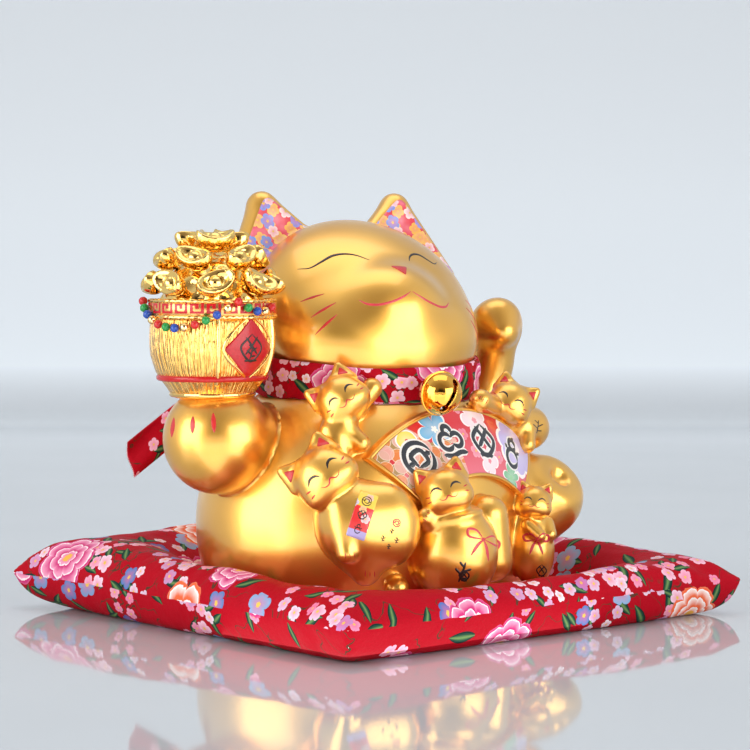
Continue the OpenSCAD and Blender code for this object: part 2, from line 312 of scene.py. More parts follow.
def finder(*objects):
    """A ray finder over several meshes, in millimetres."""
    verts, faces = [], []
    for o in objects:
        base = len(verts)
        verts += [v.co / MM for v in o.data.vertices]
        faces += [[base + i for i in p.vertices] for p in o.data.polygons]
    return BVHTree.FromPolygons(verts, faces)


# ---------------------------------------------------------------- materials


class Nodes:
    """A small helper that adds and links shader nodes."""

    def __init__(self, name):
        self.material = bpy.data.materials.new(name)
        self.material.use_nodes = True
        self.tree = self.material.node_tree
        self.shader = self.tree.nodes["Principled BSDF"]

    def add(self, kind, inputs=None, **settings):
        node = self.tree.nodes.new("ShaderNode" + kind)
        for key, value in settings.items():
            setattr(node, key, value)
        for key, value in (inputs or {}).items():
            self.put(node.inputs[key], value)
        return node

    def put(self, socket, value):
        if isinstance(value, bpy.types.NodeSocket):
            self.tree.links.new(value, socket)
        else:
            socket.default_value = value

    def math(self, operation, a, b=0.0, c=0.0):
        node = self.add("Math", {0: a, 1: b, 2: c}, operation=operation)
        return node.outputs[0]

    def times(self, a, b):
        return self.math("MULTIPLY", a, b)

    def below(self, a, b):
        """1 where a is less than b, otherwise 0."""
        return self.math("LESS_THAN", a, b)

    def above(self, a, b):
        """1 where a is greater than b, otherwise 0."""
        return self.math("GREATER_THAN", a, b)

    def vmath(self, operation, a, b=(0, 0, 0), scale=None):
        inputs = {0: a, 1: b}
        if scale is not None:
            inputs["Scale"] = scale
        node = self.add("VectorMath", inputs, operation=operation)
        return node.outputs["Value" if operation in ("LENGTH", "DOT_PRODUCT") else "Vector"]

    def mix(self, factor, a, b):
        node = self.add("Mix", {0: factor, 6: a, 7: b}, data_type="RGBA")
        return node.outputs[2]

    def noise(self, vector, scale, detail=2.0, roughness=0.5):
        inputs = {"Vector": vector, "Scale": scale, "Detail": detail, "Roughness": roughness}
        return self.add("TexNoise", inputs)

    def cloud(self, *settings):
        """Noise as one number between 0 and 1."""
        return self.noise(*settings).outputs["Fac"]

    def parts(self, vector):
        return self.add("SeparateXYZ", {0: vector}).outputs

    def ramp(self, value, low, high, to_low=0.0, to_high=1.0):
        inputs = {"Value": value, "From Min": low, "From Max": high, "To Min": to_low, "To Max": to_high}
        return self.add("MapRange", inputs, clamp=True).outputs[0]

    def object_mm(self):
        coord = self.add("TexCoord").outputs["Object"]
        return self.vmath("SCALE", coord, scale=1 / MM)

    def flat_mm(self):
        return self.add("UVMap", uv_map="flat").outputs["UV"]

    def bump(self, height, distance, strength=1.0, under=None):
        inputs = {"Height": height, "Distance": distance, "Strength": strength}
        if under is not None:
            inputs["Normal"] = under
        return self.add("Bump", inputs).outputs["Normal"]

    def finish(self, **values):
        for key, value in values.items():
            self.put(self.shader.inputs[key.replace("_", " ")], value)
        return self.material


def rgb(r, g, b):
    return (r, g, b, 1.0)


def pearl_gold():
    """Satin metallic glaze: fine mica specks, slow tone drift, a thin clear coat."""
    n = Nodes("pearl_gold_glaze")
    at = n.object_mm()
    speck = n.cloud(at, 2.2, 3.0, 0.7)
    drift = n.cloud(at, 0.02, 2.0)
    tone = n.mix(n.ramp(drift, 0.35, 0.65), rgb(0.88, 0.45, 0.07), rgb(0.93, 0.51, 0.09))
    tone = n.mix(n.ramp(speck, 0.4, 0.8, 0.0, 0.15), tone, rgb(1.0, 0.68, 0.24))
    rough = n.ramp(speck, 0.3, 0.7, 0.31, 0.36)
    normal = n.bump(speck, 0.00002, 0.2)
    return n.finish(
        Base_Color=tone, Metallic=0.92, Roughness=rough, Normal=normal,
        Coat_Weight=0.65, Coat_Roughness=0.13, Coat_IOR=1.6,
    )


def plated_gold(name="plated_gold", colour=(0.94, 0.60, 0.20), rough=0.09):
    """Bright plated gold with faint ripples from the glaze below."""
    n = Nodes(name)
    at = n.object_mm()
    ripple = n.cloud(at, 0.35, 2.0)
    haze = n.cloud(at, 1.4, 3.0)
    normal = n.bump(ripple, 0.0004, 0.6)
    roughness = n.ramp(haze, 0.3, 0.7, rough * 0.7, rough * 1.5)
    return n.finish(
        Base_Color=rgb(*colour), Metallic=1.0, Roughness=roughness, Normal=normal
    )


def gloss_paint(name, colour, rough=0.3):
    n = Nodes(name)
    cloud = n.cloud(n.object_mm(), 0.8, 2.0)
    dark = rgb(*[c * 0.82 for c in colour])
    tone = n.mix(n.ramp(cloud, 0.3, 0.7), dark, rgb(*colour))
    return n.finish(
        Base_Color=tone, Roughness=rough, Specular_IOR_Level=0.35, Coat_Weight=0.2, Coat_Roughness=0.06
    )


GOLD = pearl_gold()
PLATED = plated_gold()
INK = gloss_paint("painted_black", (0.02, 0.012, 0.01))
PAINT_RED = gloss_paint("painted_red", (0.62, 0.03, 0.03))
PAINT_PINK = gloss_paint("painted_pink", (0.66, 0.05, 0.07))
PAINT_WHITE = gloss_paint("painted_white", (0.85, 0.82, 0.78))


# ---------------------------------------------------------------- the big castings

BODY_CENTRE = (0, 2, 50)
BODY_RADII = (100, 82, 88)
BASE_HEIGHT = 12.0
NECK_HEIGHT = 122.0
NECK_OVERLAP = 4


def belly(p):
    return ellipsoid(p, BODY_CENTRE, BODY_RADII)


def on_belly(turn, z, out=0.0):
    """A point on the belly: angle round from the front, height, distance outward."""
    s = math.sqrt(1 - ((z - BODY_CENTRE[2]) / BODY_RADII[2]) ** 2)
    a = math.radians(turn)
    x = (BODY_RADII[0] * s + out) * math.sin(a)
    y = BODY_CENTRE[1] - (BODY_RADII[1] * s + out) * math.cos(a)
    return (x, y, z)


def joined(shapes, fillet):
    d = shapes[0]
    for shape in shapes[1:]:
        d = blend(d, shape, fillet)
    return d


def belly_field(p):
    d = belly(p)
    d = -blend(-d, p[:, 2] - BASE_HEIGHT, 5.0)
    return -blend(-d, NECK_HEIGHT + 3 - p[:, 2], 3.0)


def grown_from(shape, base, fillet, sink=0.6):
    """shape with a fillet where it meets base, ended just inside base's skin and near the fillet."""
    skirt = blend(shape, base + 0.4, fillet)
    return np.maximum(np.maximum(skirt, -(base + sink)), shape - fillet)


HEAD_CENTRE = vec(-4.6, 1.4, 158)
HEAD_TURN = turn_z(-14)
FACE = HEAD_TURN @ turn_x(48)
SLOT_LENGTH, SLOT_WIDTH, SLOT_HEIGHT, SLOT_DEPTH_FROM = 38.0, 3.6, 23.8, 30.0


def in_head(x, y, z):
    """A point given in the head's own frame: to its left, to the nape, up."""
    return HEAD_CENTRE + HEAD_TURN @ vec(x, y, z)


def head_shape(p):
    dome = ellipsoid(p, HEAD_CENTRE, (61, 61, 37.5), FACE)
    chin = ellipsoid(p, in_head(0, -16, -10), (52, 32, 27), HEAD_TURN)
    muzzle = ellipsoid(p, in_head(0, -33, 9), (21, 17, 14), FACE)
    d = blend(dome, chin, 12)
    return blend(d, muzzle, 14)


def head_field(p):
    d = -blend(-head_shape(p), p[:, 2] - NECK_HEIGHT + NECK_OVERLAP, 3.0)
    q = (p - HEAD_CENTRE) @ HEAD_TURN
    along, across = np.abs(q[:, 0]), np.abs(q[:, 2] - SLOT_HEIGHT)
    slot = np.maximum(along - SLOT_LENGTH / 2, across - SLOT_WIDTH / 2)
    return np.maximum(d, -np.maximum(slot, SLOT_DEPTH_FROM - q[:, 1]))


EAR_CORNERS = ((40.5, 43, 59), (61, 27, 20), (13, 31, 33))


def ear_facing(side):
    """The way an ear's open side looks; side is 1 for the cat's left and -1 for its right."""
    return HEAD_TURN @ vec(side * -0.02, -0.92, 0.39)


def ear_field(side):
    tip, outer, inner = (in_head(side * x, y, z) for x, y, z in EAR_CORNERS)
    back = in_head(side * 42, 42, 26)
    forward = ear_facing(side)
    hollow = in_head(side * 37, 33, 39) + forward * 56

    def field(p):
        d = slab(p, tip, outer, inner, 6.8)
        for corner in (outer, inner):
            d = blend(d, slab(p, tip - forward, corner, back, 6.4), 5)
        d = carve(d, ball(p, hollow, 52.5), 2)
        return grown_from(d, head_shape(p), 4, 1.5)

    return field


def arm_field(p):
    paw = ellipsoid(p, (-102, 4, 97), (28.3, 28, 28.3))
    arm = limb(p, (-66, 8, 92), (-92, 4, 96), 19, 22)
    d = blend(paw, arm, 5)
    return grown_from(d, belly(p), 4, 1.8)


def waving_field(p):
    arm = limb(p, (80, 3, 98), (85, -4, 131), 15, 10)
    wrist = limb(p, (85, -4, 130), (83, -9, 147), 10.6, 12.6)
    paw = ellipsoid(p, (81.6, -10, 153), (15.2, 13.4, 13.4))
    tips = limb(p, (80, -14, 156), (77, -20, 149), 10.6, 8.6)
    d = joined([arm, wrist, paw, tips], 5)
    return grown_from(d, belly(p), 8, 1.8)


def leg_field(p):
    thigh = limb(p, (46, -38, 43), (71, -56, 61), 28, 22.5)
    d = grown_from(thigh, belly(p), 8, 1.8)
    away = unit(vec(0.066, -0.753, 0.68))
    sole = vec(71, -56, 61) + away * 17.4
    cut = (p - sole) @ away
    d = carve(d, -cut, 3)
    return carve(d, ball(p, sole + away * 2.6, 6.6), 1.4)


def tail_field(p):
    d = limb(p, on_belly(178, 60, -1), on_belly(156, 61, 1), 8, 11)
    d = blend(d, limb(p, on_belly(156, 61, 1), on_belly(146, 88, 1.5), 11, 8), 4)
    return grown_from(d, belly(p), 4)


body = cast("cat_belly", belly_field, (-106, -88, 6), (106, 92, 132), 2.4, GOLD, nodes=["cat_body"])
head = cast("cat_face", head_field, (-78, -70, 108), (72, 72, 214), 1.5, GOLD, nodes=["cat_head"])
ear_right = cast("ear_of_right_side", ear_field(-1), (-78, -2, 158), (10, 86, 238), 1.4, GOLD,
                 nodes=["ear_right"])
ear_left = cast("ear_of_left_side", ear_field(1), (-10, -18, 158), (78, 74, 238), 1.4, GOLD,
                nodes=["ear_left"])
ball_paw = cast("ball_paw_arm", arm_field, (-136, -30, 62), (-50, 40, 132), 1.7, GOLD, nodes=["barrel_arm"])
cast("raised_arm", waving_field, (56, -36, 78), (108, 28, 174), 1.3, GOLD, nodes=["waving_arm"])
cast("foot", leg_field, (22, -96, 12), (112, -8, 94), 1.5, GOLD, nodes=["left_leg"])
cast("curled_tail", tail_field, (-20, 50, 40), (80, 108, 106), 1.4, GOLD, nodes=["tail"])


# ---------------------------------------------------------------- thin paint that follows a surface


def smooth_line(points, spacing):
    """A Catmull-Rom line through points, sampled about every spacing."""
    p = np.asarray(points, float)
    p = np.vstack([2 * p[0] - p[1], p, 2 * p[-1] - p[-2]])
    out = []
    for k in range(1, len(p) - 2):
        count = max(2, int(np.linalg.norm(p[k + 1] - p[k]) / spacing))
        for t in np.arange(count) / count:
            a, b, c, d = p[k - 1], p[k], p[k + 1], p[k + 2]
            out.append(
                0.5 * (2 * b + (c - a) * t + (2 * a - 5 * b + 4 * c - d) * t**2
                       + (3 * b - a - 3 * c + d) * t**3)
            )
    out.append(p[-2])
    return np.array(out)


RAY_START, RAY_REACH = 80, 105


class Paint:
    """Painted strokes and printed patches draped on castings, gathered into one piece."""

    def __init__(self, name, material, target, slot="fan_print"):
        self.name, self.material, self.tree, self.slot = name, material, target, slot
        self.verts, self.faces, self.uv = [], [], []

    def drape(self, place, u, v, lift):
        """The point above the surface at (u, v), or None where the place's ray misses it."""
        centre, axes = place
        start = centre + axes @ vec(u, RAY_START, v)
        hit = self.tree.ray_cast(Vector(start), Vector(-axes[:, 1]))[0]
        if hit is None or (np.array(hit) - start) @ -axes[:, 1] > RAY_REACH:
            return None
        return np.array(hit) + axes[:, 1] * lift

    def stroke(self, place, points, width, height=0.16, taper=0.35):
        """A ridge along points; it is width wide in the middle and narrows toward its ends."""
        line = smooth_line(points, max(0.25, width * 0.35))
        along = np.gradient(line, axis=0)
        across = np.stack([-along[:, 1], along[:, 0]], 1)
        across /= np.linalg.norm(across, axis=1)[:, None] + 1e-9
        t = np.linspace(0, 1, len(line))
        share = np.clip(np.minimum(t, 1 - t) / max(taper, 1e-3), 0, 1) ** 0.7
        half = width / 2 * (0.12 + 0.88 * share)
        ridge = ((-1, -0.04), (-0.55, 0.8 * height), (0, height), (0.55, 0.8 * height), (1, -0.04))
        rows = []
        for k in range(len(line)):
            row = []
            for s, lift in ridge:
                u, v = line[k] + across[k] * half[k] * s
                row.append((self.drape(place, u, v, lift), (u, v)))
            missed = any(p is None for p, _ in row)
            rows.append(None if missed else row)
        self._join(rows)

    def _join(self, rows):
        last = None
        for row in rows:
            if row is None:
                last = None
                continue
            base = len(self.verts)
            self.verts += [p for p, _ in row]
            self.uv += [q for _, q in row]
            if last is not None:
                for j in range(len(row) - 1):
                    self.faces.append((last + j, base + j, base + j + 1, last + j + 1))
            last = base

    def patch(self, place, outline, height=0.16, rings=8, spacing=1.0):
        """A filled shape, star-shaped about the middle of its outline."""
        closed = np.vstack([outline, outline[:1]])
        line = []
        for a, b in zip(closed[:-1], closed[1:]):
            count = max(1, int(np.linalg.norm(np.subtract(b, a)) / spacing))
            line += [np.asarray(a) + (np.asarray(b) - np.asarray(a)) * t for t in np.arange(count) / count]
        line = np.array(line)
        middle = line.mean(0)
        shares = [0.0] + list(np.linspace(0, 1, rings + 1)[1:]) + [1.0]
        lifts = [height] * (rings + 1) + [-0.06]
        loops = []
        for share, lift in zip(shares, lifts):
            pulled = share if lift > 0 else 1.0
            row = []
            for q in line:
                u, v = middle + (q - middle) * pulled
                row.append((self.drape(place, u, v, lift), (u, v)))
            loops.append(row)
        base = len(self.verts)
        width = len(line)
        for row in loops:
            for p, q in row:
                self.verts.append(p if p is not None else np.full(3, np.nan))
                self.uv.append(q)
        for i in range(len(loops) - 1):
            for j in range(width):
                a, b = base + i * width + j, base + i * width + (j + 1) % width
                face = (a, b, b + width, a + width) if i else (a, b + width, a + width)
                if not any(np.isnan(self.verts[k][0]) for k in face):
                    self.faces.append(face)

    def finish(self):
        used = sorted({i for f in self.faces for i in f})
        index = {old: new for new, old in enumerate(used)}
        verts = [self.verts[i] for i in used]
        faces = [[index[i] for i in f] for f in self.faces]
        o = new_object(self.name, verts, faces, self.material, [self.uv[i] for i in used])
        return piece(o, "cat", self.slot)


def arc(centre, radius, start, stop, count=9):
    angles = np.radians(np.linspace(start, stop, count))
    return [(centre[0] + radius * math.cos(a), centre[1] + radius * math.sin(a)) for a in angles]


def rounded(corners, radius):
    """The outline of a polygon whose corners are rounded by radius."""
    out = []
    count = len(corners)
    for k in range(count):
        p, a, b = (np.asarray(corners[(k + j) % count], float) for j in (0, -1, 1))
        start, stop = p + unit(a - p) * radius, p + unit(b - p) * radius
        for t in np.linspace(0, 1, 6):
            out.append((1 - t) ** 2 * start + 2 * t * (1 - t) * p + t * t * stop)
    return np.array(out)


# ---------------------------------------------------------------- printed patterns


FULL_TURN = 6.283


def scatter(n, at, cell, shift):
    """Cells at random places. Gives each cell's middle, the way from it, and three random numbers."""
    scaled = n.vmath("SCALE", n.vmath("ADD", at, shift), scale=1 / cell)
    inputs = {"Vector": scaled, "Scale": 1.0, "Randomness": 0.6}
    cells = n.add("TexVoronoi", inputs, voronoi_dimensions="2D").outputs
    away = n.vmath("SUBTRACT", scaled, cells["Position"])
    return cells["Position"], away, n.add("SeparateColor", {0: cells["Color"]}).outputs


def in_clusters(n, middle, cell, clusters):
    """1 for cells inside patches; clusters gives the patches' size and the least noise for one."""
    size, least = clusters
    return n.above(n.cloud(middle, cell / size, 1.0), least)


def flowers(n, at, cell, shift, density, radius, petals=5, notch=0.35, clusters=None):
    """Scattered flowers. Gives (mask, share of the way out, the cell's random numbers)."""
    middle, away, luck = scatter(n, at, cell, shift)
    share = petal_share(n, away, radius / cell, petals, notch, luck[0])
    share = n.math("DIVIDE", share, n.math("MULTIPLY_ADD", luck[1], 0.4, 0.8))
    here = n.above(luck[2], 1 - density)
    if clusters:
        here = n.times(here, in_clusters(n, middle, cell, clusters))
    return n.times(n.below(share, 1.0), here), share, luck


def petal_share(n, away, radius, petals, notch, turn=0.0):
    """How far out a point is in a flower, 1 at the petals' edge."""
    part = n.parts(away)
    angle = n.math("MULTIPLY_ADD", turn, FULL_TURN, n.math("ARCTAN2", part[1], part[0]))
    lobe = n.math("ABSOLUTE", n.math("SINE", n.times(angle, petals / 2)))
    reach = n.math("MULTIPLY_ADD", n.math("POWER", lobe, 0.55), notch, 1 - notch)
    flat = n.add("CombineXYZ", {0: part[0], 1: part[1]}).outputs[0]
    return n.math("DIVIDE", n.vmath("LENGTH", flat), n.times(reach, radius))


def leaves(n, at, cell, shift, density, length, width, clusters):
    """Scattered pointed leaves. Gives (mask, distance from the leaf's rib as a share)."""
    middle, away, luck = scatter(n, at, cell, shift)
    spin = {"Vector": away, "Angle": n.times(luck[0], FULL_TURN)}
    part = n.parts(n.add("VectorRotate", spin, rotation_type="Z_AXIS").outputs[0])
    x = n.math("DIVIDE", part[0], length / cell)
    edge = n.math("SUBTRACT", 1.0, n.times(x, x))
    y = n.math("DIVIDE", n.math("ABSOLUTE", part[1]), width / cell)
    share = n.math("DIVIDE", y, n.math("MAXIMUM", edge, 0.001))
    mask = n.times(n.below(share, 1.0), n.above(edge, 0.0))
    mask = n.times(mask, in_clusters(n, middle, cell, clusters))
    return n.times(mask, n.above(luck[2], 1 - density)), share


def band(n, value, low, high):
    return n.times(n.above(value, low), n.below(value, high))


def peonies(n, tone, at, cell, shift, density, radius, inner, outer, odd):
    """Big many-layered flowers: ragged rings of petals with pale rims."""
    wobble = n.noise(at, 0.22, 2.0).outputs["Color"]
    moved = n.vmath("ADD", at, n.vmath("SCALE", wobble, scale=3.2))
    mask, share, luck = flowers(n, moved, cell, shift, density, radius, 7, 0.22)
    layer = n.math("FRACT", n.times(share, 3.3))
    petal = n.mix(n.ramp(layer, 0.1, 0.95), inner, outer)
    other = n.mix(n.ramp(layer, 0.2, 0.95), odd, rgb(0.92, 0.80, 0.76))
    petal = n.mix(n.above(luck[0], 0.62), petal, other)
    rim = n.times(band(n, layer, 0.86, 1.0), 0.8)
    petal = n.mix(rim, petal, rgb(0.95, 0.86, 0.86))
    heart = n.below(share, 0.16)
    petal = n.mix(heart, petal, rgb(0.85, 0.45, 0.08))
    return n.mix(mask, tone, petal)


def small_flowers(n, tone, at, cell, shift, density, radius, first, second, gate=None, clusters=None):
    mask, share, luck = flowers(n, at, cell, shift, density, radius, clusters=clusters)
    if gate is not None:
        mask = n.times(mask, gate)
    petal = n.mix(luck[1], first, second)
    petal = n.mix(n.ramp(share, 0.25, 1.0), n.mix(0.5, petal, rgb(0.75, 0.12, 0.22)), petal)
    petal = n.mix(n.below(share, 0.2), petal, rgb(0.80, 0.50, 0.10))
    return n.mix(mask, tone, petal)


def printed_cotton(name, zoom=1.0, shift=(0, 0, 0)):
    """Red cotton printed with peonies, cherry clusters, blue flowers, leaves and twigs."""
    n = Nodes(name)
    at = n.vmath("ADD", n.vmath("SCALE", n.flat_mm(), scale=1 / zoom), shift)
    slub = n.cloud(at, 1.3, 3.0)
    tone = n.mix(n.ramp(slub, 0.3, 0.7), rgb(0.38, 0.0008, 0.008), rgb(0.45, 0.0015, 0.013))
    grove = n.ramp(n.cloud(at, 0.024, 1.0), 0.46, 0.50)
    twig = n.math("ABSOLUTE", n.math("SUBTRACT", n.cloud(at, 0.05, 2.0), 0.5))
    twig = n.times(n.below(twig, 0.008), grove)
    tone = n.mix(twig, tone, rgb(0.10, 0.035, 0.02))
    for k, (cell, length, width) in enumerate(((15, 6.6, 2.2), (22, 9.6, 3.0), (18, 8.0, 2.4))):
        mask, share = leaves(n, at, cell, (31 * k, 17 * k, 0), 0.75, length, width, (48, 0.52))
        leaf = n.mix(n.ramp(share, 0.0, 0.5), rgb(0.16, 0.28, 0.09), rgb(0.012, 0.06, 0.035))
        leaf = n.mix(n.above(share, 0.72), leaf, rgb(0.006, 0.022, 0.022))
        tone = n.mix(mask, tone, leaf)
    blues = (rgb(0.03, 0.15, 0.44), rgb(0.24, 0.44, 0.66))
    pinks = (rgb(0.80, 0.22, 0.38), rgb(0.88, 0.62, 0.74))
    mauves = (rgb(0.90, 0.84, 0.88), rgb(0.46, 0.20, 0.48))
    tone = small_flowers(n, tone, at, 21, (5, 40, 0), 0.6, 7.2, *blues, clusters=(60, 0.53))
    tone = small_flowers(n, tone, at, 11, (0, 0, 0), 0.85, 4.3, *pinks, clusters=(50, 0.57))
    tone = small_flowers(n, tone, at, 10, (75, 3, 0), 0.8, 4.1, *mauves, clusters=(55, 0.57))
    tone = peonies(
        n, tone, at, 62, (12, 33, 0), 0.72, 21,
        rgb(0.60, 0.03, 0.18), rgb(0.88, 0.40, 0.56), rgb(0.80, 0.14, 0.05),
    )
    weave = n.cloud(at, 4.2, 2.0)
    crease = n.cloud(at, 0.12, 2.0)
    normal = n.bump(weave, 0.00012, 0.5, n.bump(crease, 0.0012, 0.5))
    return n.finish(
        Base_Color=tone, Normal=normal, Roughness=0.6, Specular_IOR_Level=0.08, Sheen_Weight=0.0
    )


def coin_rings(n, tone, at, cell, gate):
    """Overlapping circles in olive, orange and white on a square lattice."""
    colours = (rgb(0.34, 0.26, 0.08), rgb(0.74, 0.24, 0.05), rgb(0.76, 0.42, 0.36))
    for k, colour in enumerate(colours):
        place = n.vmath("ADD", at, (cell * 0.33 * k, cell * 0.5 * (k % 2), 0))
        cells = n.vmath("FRACTION", n.vmath("SCALE", place, scale=1 / cell))
        part = n.parts(n.vmath("SUBTRACT", cells, (0.5, 0.5, 0)))
        far = n.vmath("LENGTH", n.add("CombineXYZ", {0: part[0], 1: part[1]}).outputs[0])
        tone = n.mix(n.times(band(n, far, 0.0, 0.36), gate), tone, colour)
        tone = n.mix(n.times(band(n, far, 0.36, 0.40), gate), tone, rgb(0.80, 0.66, 0.52))
    return tone


def one_flower(n, tone, at, centre, radius, petals, colour, heart, notch=0.4, turn=0.0):
    away = n.vmath("SUBTRACT", at, (centre[0], centre[1], 0))
    share = petal_share(n, away, radius, petals, notch, turn)
    body_tone = n.mix(n.ramp(share, 0.1, 1.0), n.mix(0.35, colour, rgb(0.9, 0.85, 0.85)), colour)
    tone = n.mix(n.below(share, 1.0), tone, body_tone)
    tone = n.mix(band(n, share, 0.93, 1.06), tone, rgb(0.9, 0.85, 0.83))
    return n.mix(n.below(share, 0.2), tone, heart)


def fan_print():
    n = Nodes("fan_print")
    at = n.flat_mm()
    part = n.parts(at)
    tone = n.mix(n.ramp(part[1], -14, 10), rgb(0.72, 0.15, 0.20), rgb(0.62, 0.02, 0.03))
    left = n.below(n.math("MULTIPLY_ADD", part[1], 0.5, part[0]), -21)
    low = n.below(part[1], n.math("MULTIPLY_ADD", part[0], -0.12, 2.0))
    corner = n.times(low, n.below(part[0], -8))
    tone = coin_rings(n, tone, at, 8.6, n.times(n.math("MAXIMUM", left, corner), 0.85))
    tone = small_flowers(
        n, tone, at, 12, (3, 9, 0), 0.4, 3.6, rgb(0.74, 0.20, 0.28), rgb(0.82, 0.44, 0.50),
        gate=n.above(part[0], -4),
    )
    pale = rgb(0.88, 0.66, 0.70)
    tone = one_flower(n, tone, at, (9, 11), 8, 5, pale, rgb(0.80, 0.30, 0.35))
    tone = one_flower(n, tone, at, (13, -9), 7.5, 5, pale, rgb(0.78, 0.25, 0.30), turn=0.3)
    tone = one_flower(n, tone, at, (38, 6), 15, 9, rgb(0.50, 0.42, 0.74), rgb(0.85, 0.80, 0.90), notch=0.16)
    tone = one_flower(n, tone, at, (-33, 11), 5, 6, rgb(0.88, 0.66, 0.06), rgb(0.66, 0.05, 0.04), notch=0.05)
    tone = one_flower(n, tone, at, (-17, 9.5), 9, 5, rgb(0.10, 0.42, 0.70), rgb(0.9, 0.9, 0.85), notch=0.62)
    tone = one_flower(n, tone, at, (34, -13), 8.5, 7, rgb(0.14, 0.46, 0.22), rgb(0.3, 0.6, 0.3), notch=0.66)
    speckle = n.cloud(at, 3.0, 2.0)
    return n.finish(
        Base_Color=tone, Roughness=0.28, Coat_Weight=0.4, Coat_Roughness=0.08,
        Normal=n.bump(speckle, 0.00005, 0.4),
    )


def ear_print():
    n = Nodes("ear_print")
    at = n.flat_mm()
    cloud = n.cloud(at, 0.12, 1.0)
    tone = n.mix(n.ramp(cloud, 0.4, 0.6), rgb(0.72, 0.035, 0.06), rgb(0.80, 0.16, 0.22))
    yellows = (rgb(0.88, 0.52, 0.06), rgb(0.90, 0.62, 0.16))
    blues = (rgb(0.06, 0.34, 0.80), rgb(0.46, 0.30, 0.76))
    whites = (rgb(0.88, 0.60, 0.64), rgb(0.92, 0.84, 0.80))
    tone = small_flowers(n, tone, at, 8.8, (3, 1, 0), 0.6, 4.2, *yellows)
    tone = small_flowers(n, tone, at, 10.4, (31, 11, 0), 0.5, 4.6, *blues)
    tone = small_flowers(n, tone, at, 9.4, (14, 52, 0), 0.35, 3.6, *whites)
    return n.finish(Base_Color=tone, Roughness=0.3, Coat_Weight=0.4, Coat_Roughness=0.08)


def banner_print():
    n = Nodes("banner_print")
    at = n.flat_mm()
    part = n.parts(at)
    tone = n.mix(n.above(part[1], 4), rgb(0.68, 0.03, 0.03), rgb(0.86, 0.58, 0.07))
    tone = n.mix(n.below(part[1], -8), tone, rgb(0.42, 0.36, 0.66))
    tone = small_flowers(n, tone, at, 6, (1, 4, 0), 0.5, 2.3, rgb(0.85, 0.55, 0.15), rgb(0.5, 0.6, 0.8))
    return n.finish(Base_Color=tone, Roughness=0.32, Coat_Weight=0.4, Coat_Roughness=0.08)


# ---------------------------------------------------------------- kittens

TO_FRONT = vec(-0.664, -0.747, 0.0)
TO_SIDE = vec(0.747, -0.664, 0.0)
FACE_PLACE = (HEAD_CENTRE, np.stack([FACE[:, 0], FACE[:, 2], FACE[:, 1]], 1))
STRAIGHT_AHEAD = np.diag([1.0, -1.0, 1.0])


def facing(centre, roll=0.0, tip=0.25):
    """A place to model or paint: its centre and its side, outward and up axes."""
    out = unit(TO_FRONT + vec(0, 0, tip))
    up = np.cross(out, TO_SIDE)
    up = up if up[2] > 0 else -up
    a = math.radians(roll)
    side = math.cos(a) * TO_SIDE + math.sin(a) * up
    top = -math.sin(a) * TO_SIDE + math.cos(a) * up
    return vec(*centre), np.stack([side, out, top], 1)


def kitten_head(p, place, r):
    """A kitten's head: round skull, full cheeks, soft muzzle and two short ears."""
    q = (p - place[0]) @ place[1]
    d = ellipsoid(q, (0, 0, 0), (1.02 * r, 0.98 * r, 0.98 * r))
    d = blend(d, ellipsoid(q, (0, 0.62 * r, -0.3 * r), (0.46 * r, 0.38 * r, 0.36 * r)), 0.35 * r)
    for s in (-1, 1):
        cheek = ellipsoid(q, (s * 0.5 * r, 0.34 * r, -0.34 * r), (0.5 * r, 0.48 * r, 0.44 * r))
        d = blend(d, cheek, 0.3 * r)
        tip, outer, inner = (s * 0.8, 0, 1.12), (s * 0.94, -0.02, 0.42), (s * 0.26, 0.05, 0.84)
        ear = slab(q, *[[c * r for c in corner] for corner in (tip, outer, inner)], 0.15 * r)
        root, top = (s * 0.56 * r, -0.12 * r, 0.55 * r), (s * 0.76 * r, -0.05 * r, 0.98 * r)
        rear = limb(q, root, top, 0.36 * r, 0.14 * r)
        d = blend(d, blend(ear, rear, 0.2 * r), 0.22 * r)
    return d


HEADS = {
    "upper_right": (facing((-60.5, -44.5, 117), 43), 13.0),
    "reclining": (facing((-83, -57, 80), 46), 15.6),
    "seated": (facing((-28, -86, 71), 19), 12.8),
    "upper_left": (facing((46, -57, 112), -29), 11.6),
    "small": (facing((41, -80, 61), -6), 9.0),
}


def head_of(name, p):
    return kitten_head(p, *HEADS[name])


def upper_right_field(p):
    d = joined([
        limb(p, (-63, -46, 107), (-65, -46, 98), 9.2, 9.8),
        limb(p, (-64, -50, 104), (-59, -57, 96), 4.4, 4.8),
        limb(p, (-71, -46, 102), (-68, -52, 91), 4.2, 4.6),
    ], 3)
    d = blend(d, limb(p, (-51, -44, 112), (-42, -46, 122.5), 4.4, 5.4), 1.5)
    d = blend(d, head_of("upper_right", p), 1.5)
    return grown_from(d, belly(p), 4, 1.2)


def reclining_field(p):
    trunk = facing((-69, -65, 56), 20, 0)
    sack = facing((-60, -75, 56), 6, 0)
    d = ellipsoid(p, trunk[0], (20.5, 21, 24.5), trunk[1])
    d = blend(d, ellipsoid(p, sack[0], (18.5, 14.5, 21.5), sack[1]), 5)
    d = blend(d, limb(p, (-83, -68, 66), (-84, -75, 44), 6.2, 5.2), 3)
    d = blend(d, limb(p, (-69, -67, 42), (-67.5, -70, 33), 9.5, 7.0), 6)
    d = blend(d, ball(p, (-47, -71, 23), 6.2), 2)
    d = blend(d, head_of("reclining", p), 2.0)
    return grown_from(d, belly(p), 4, 1.2)


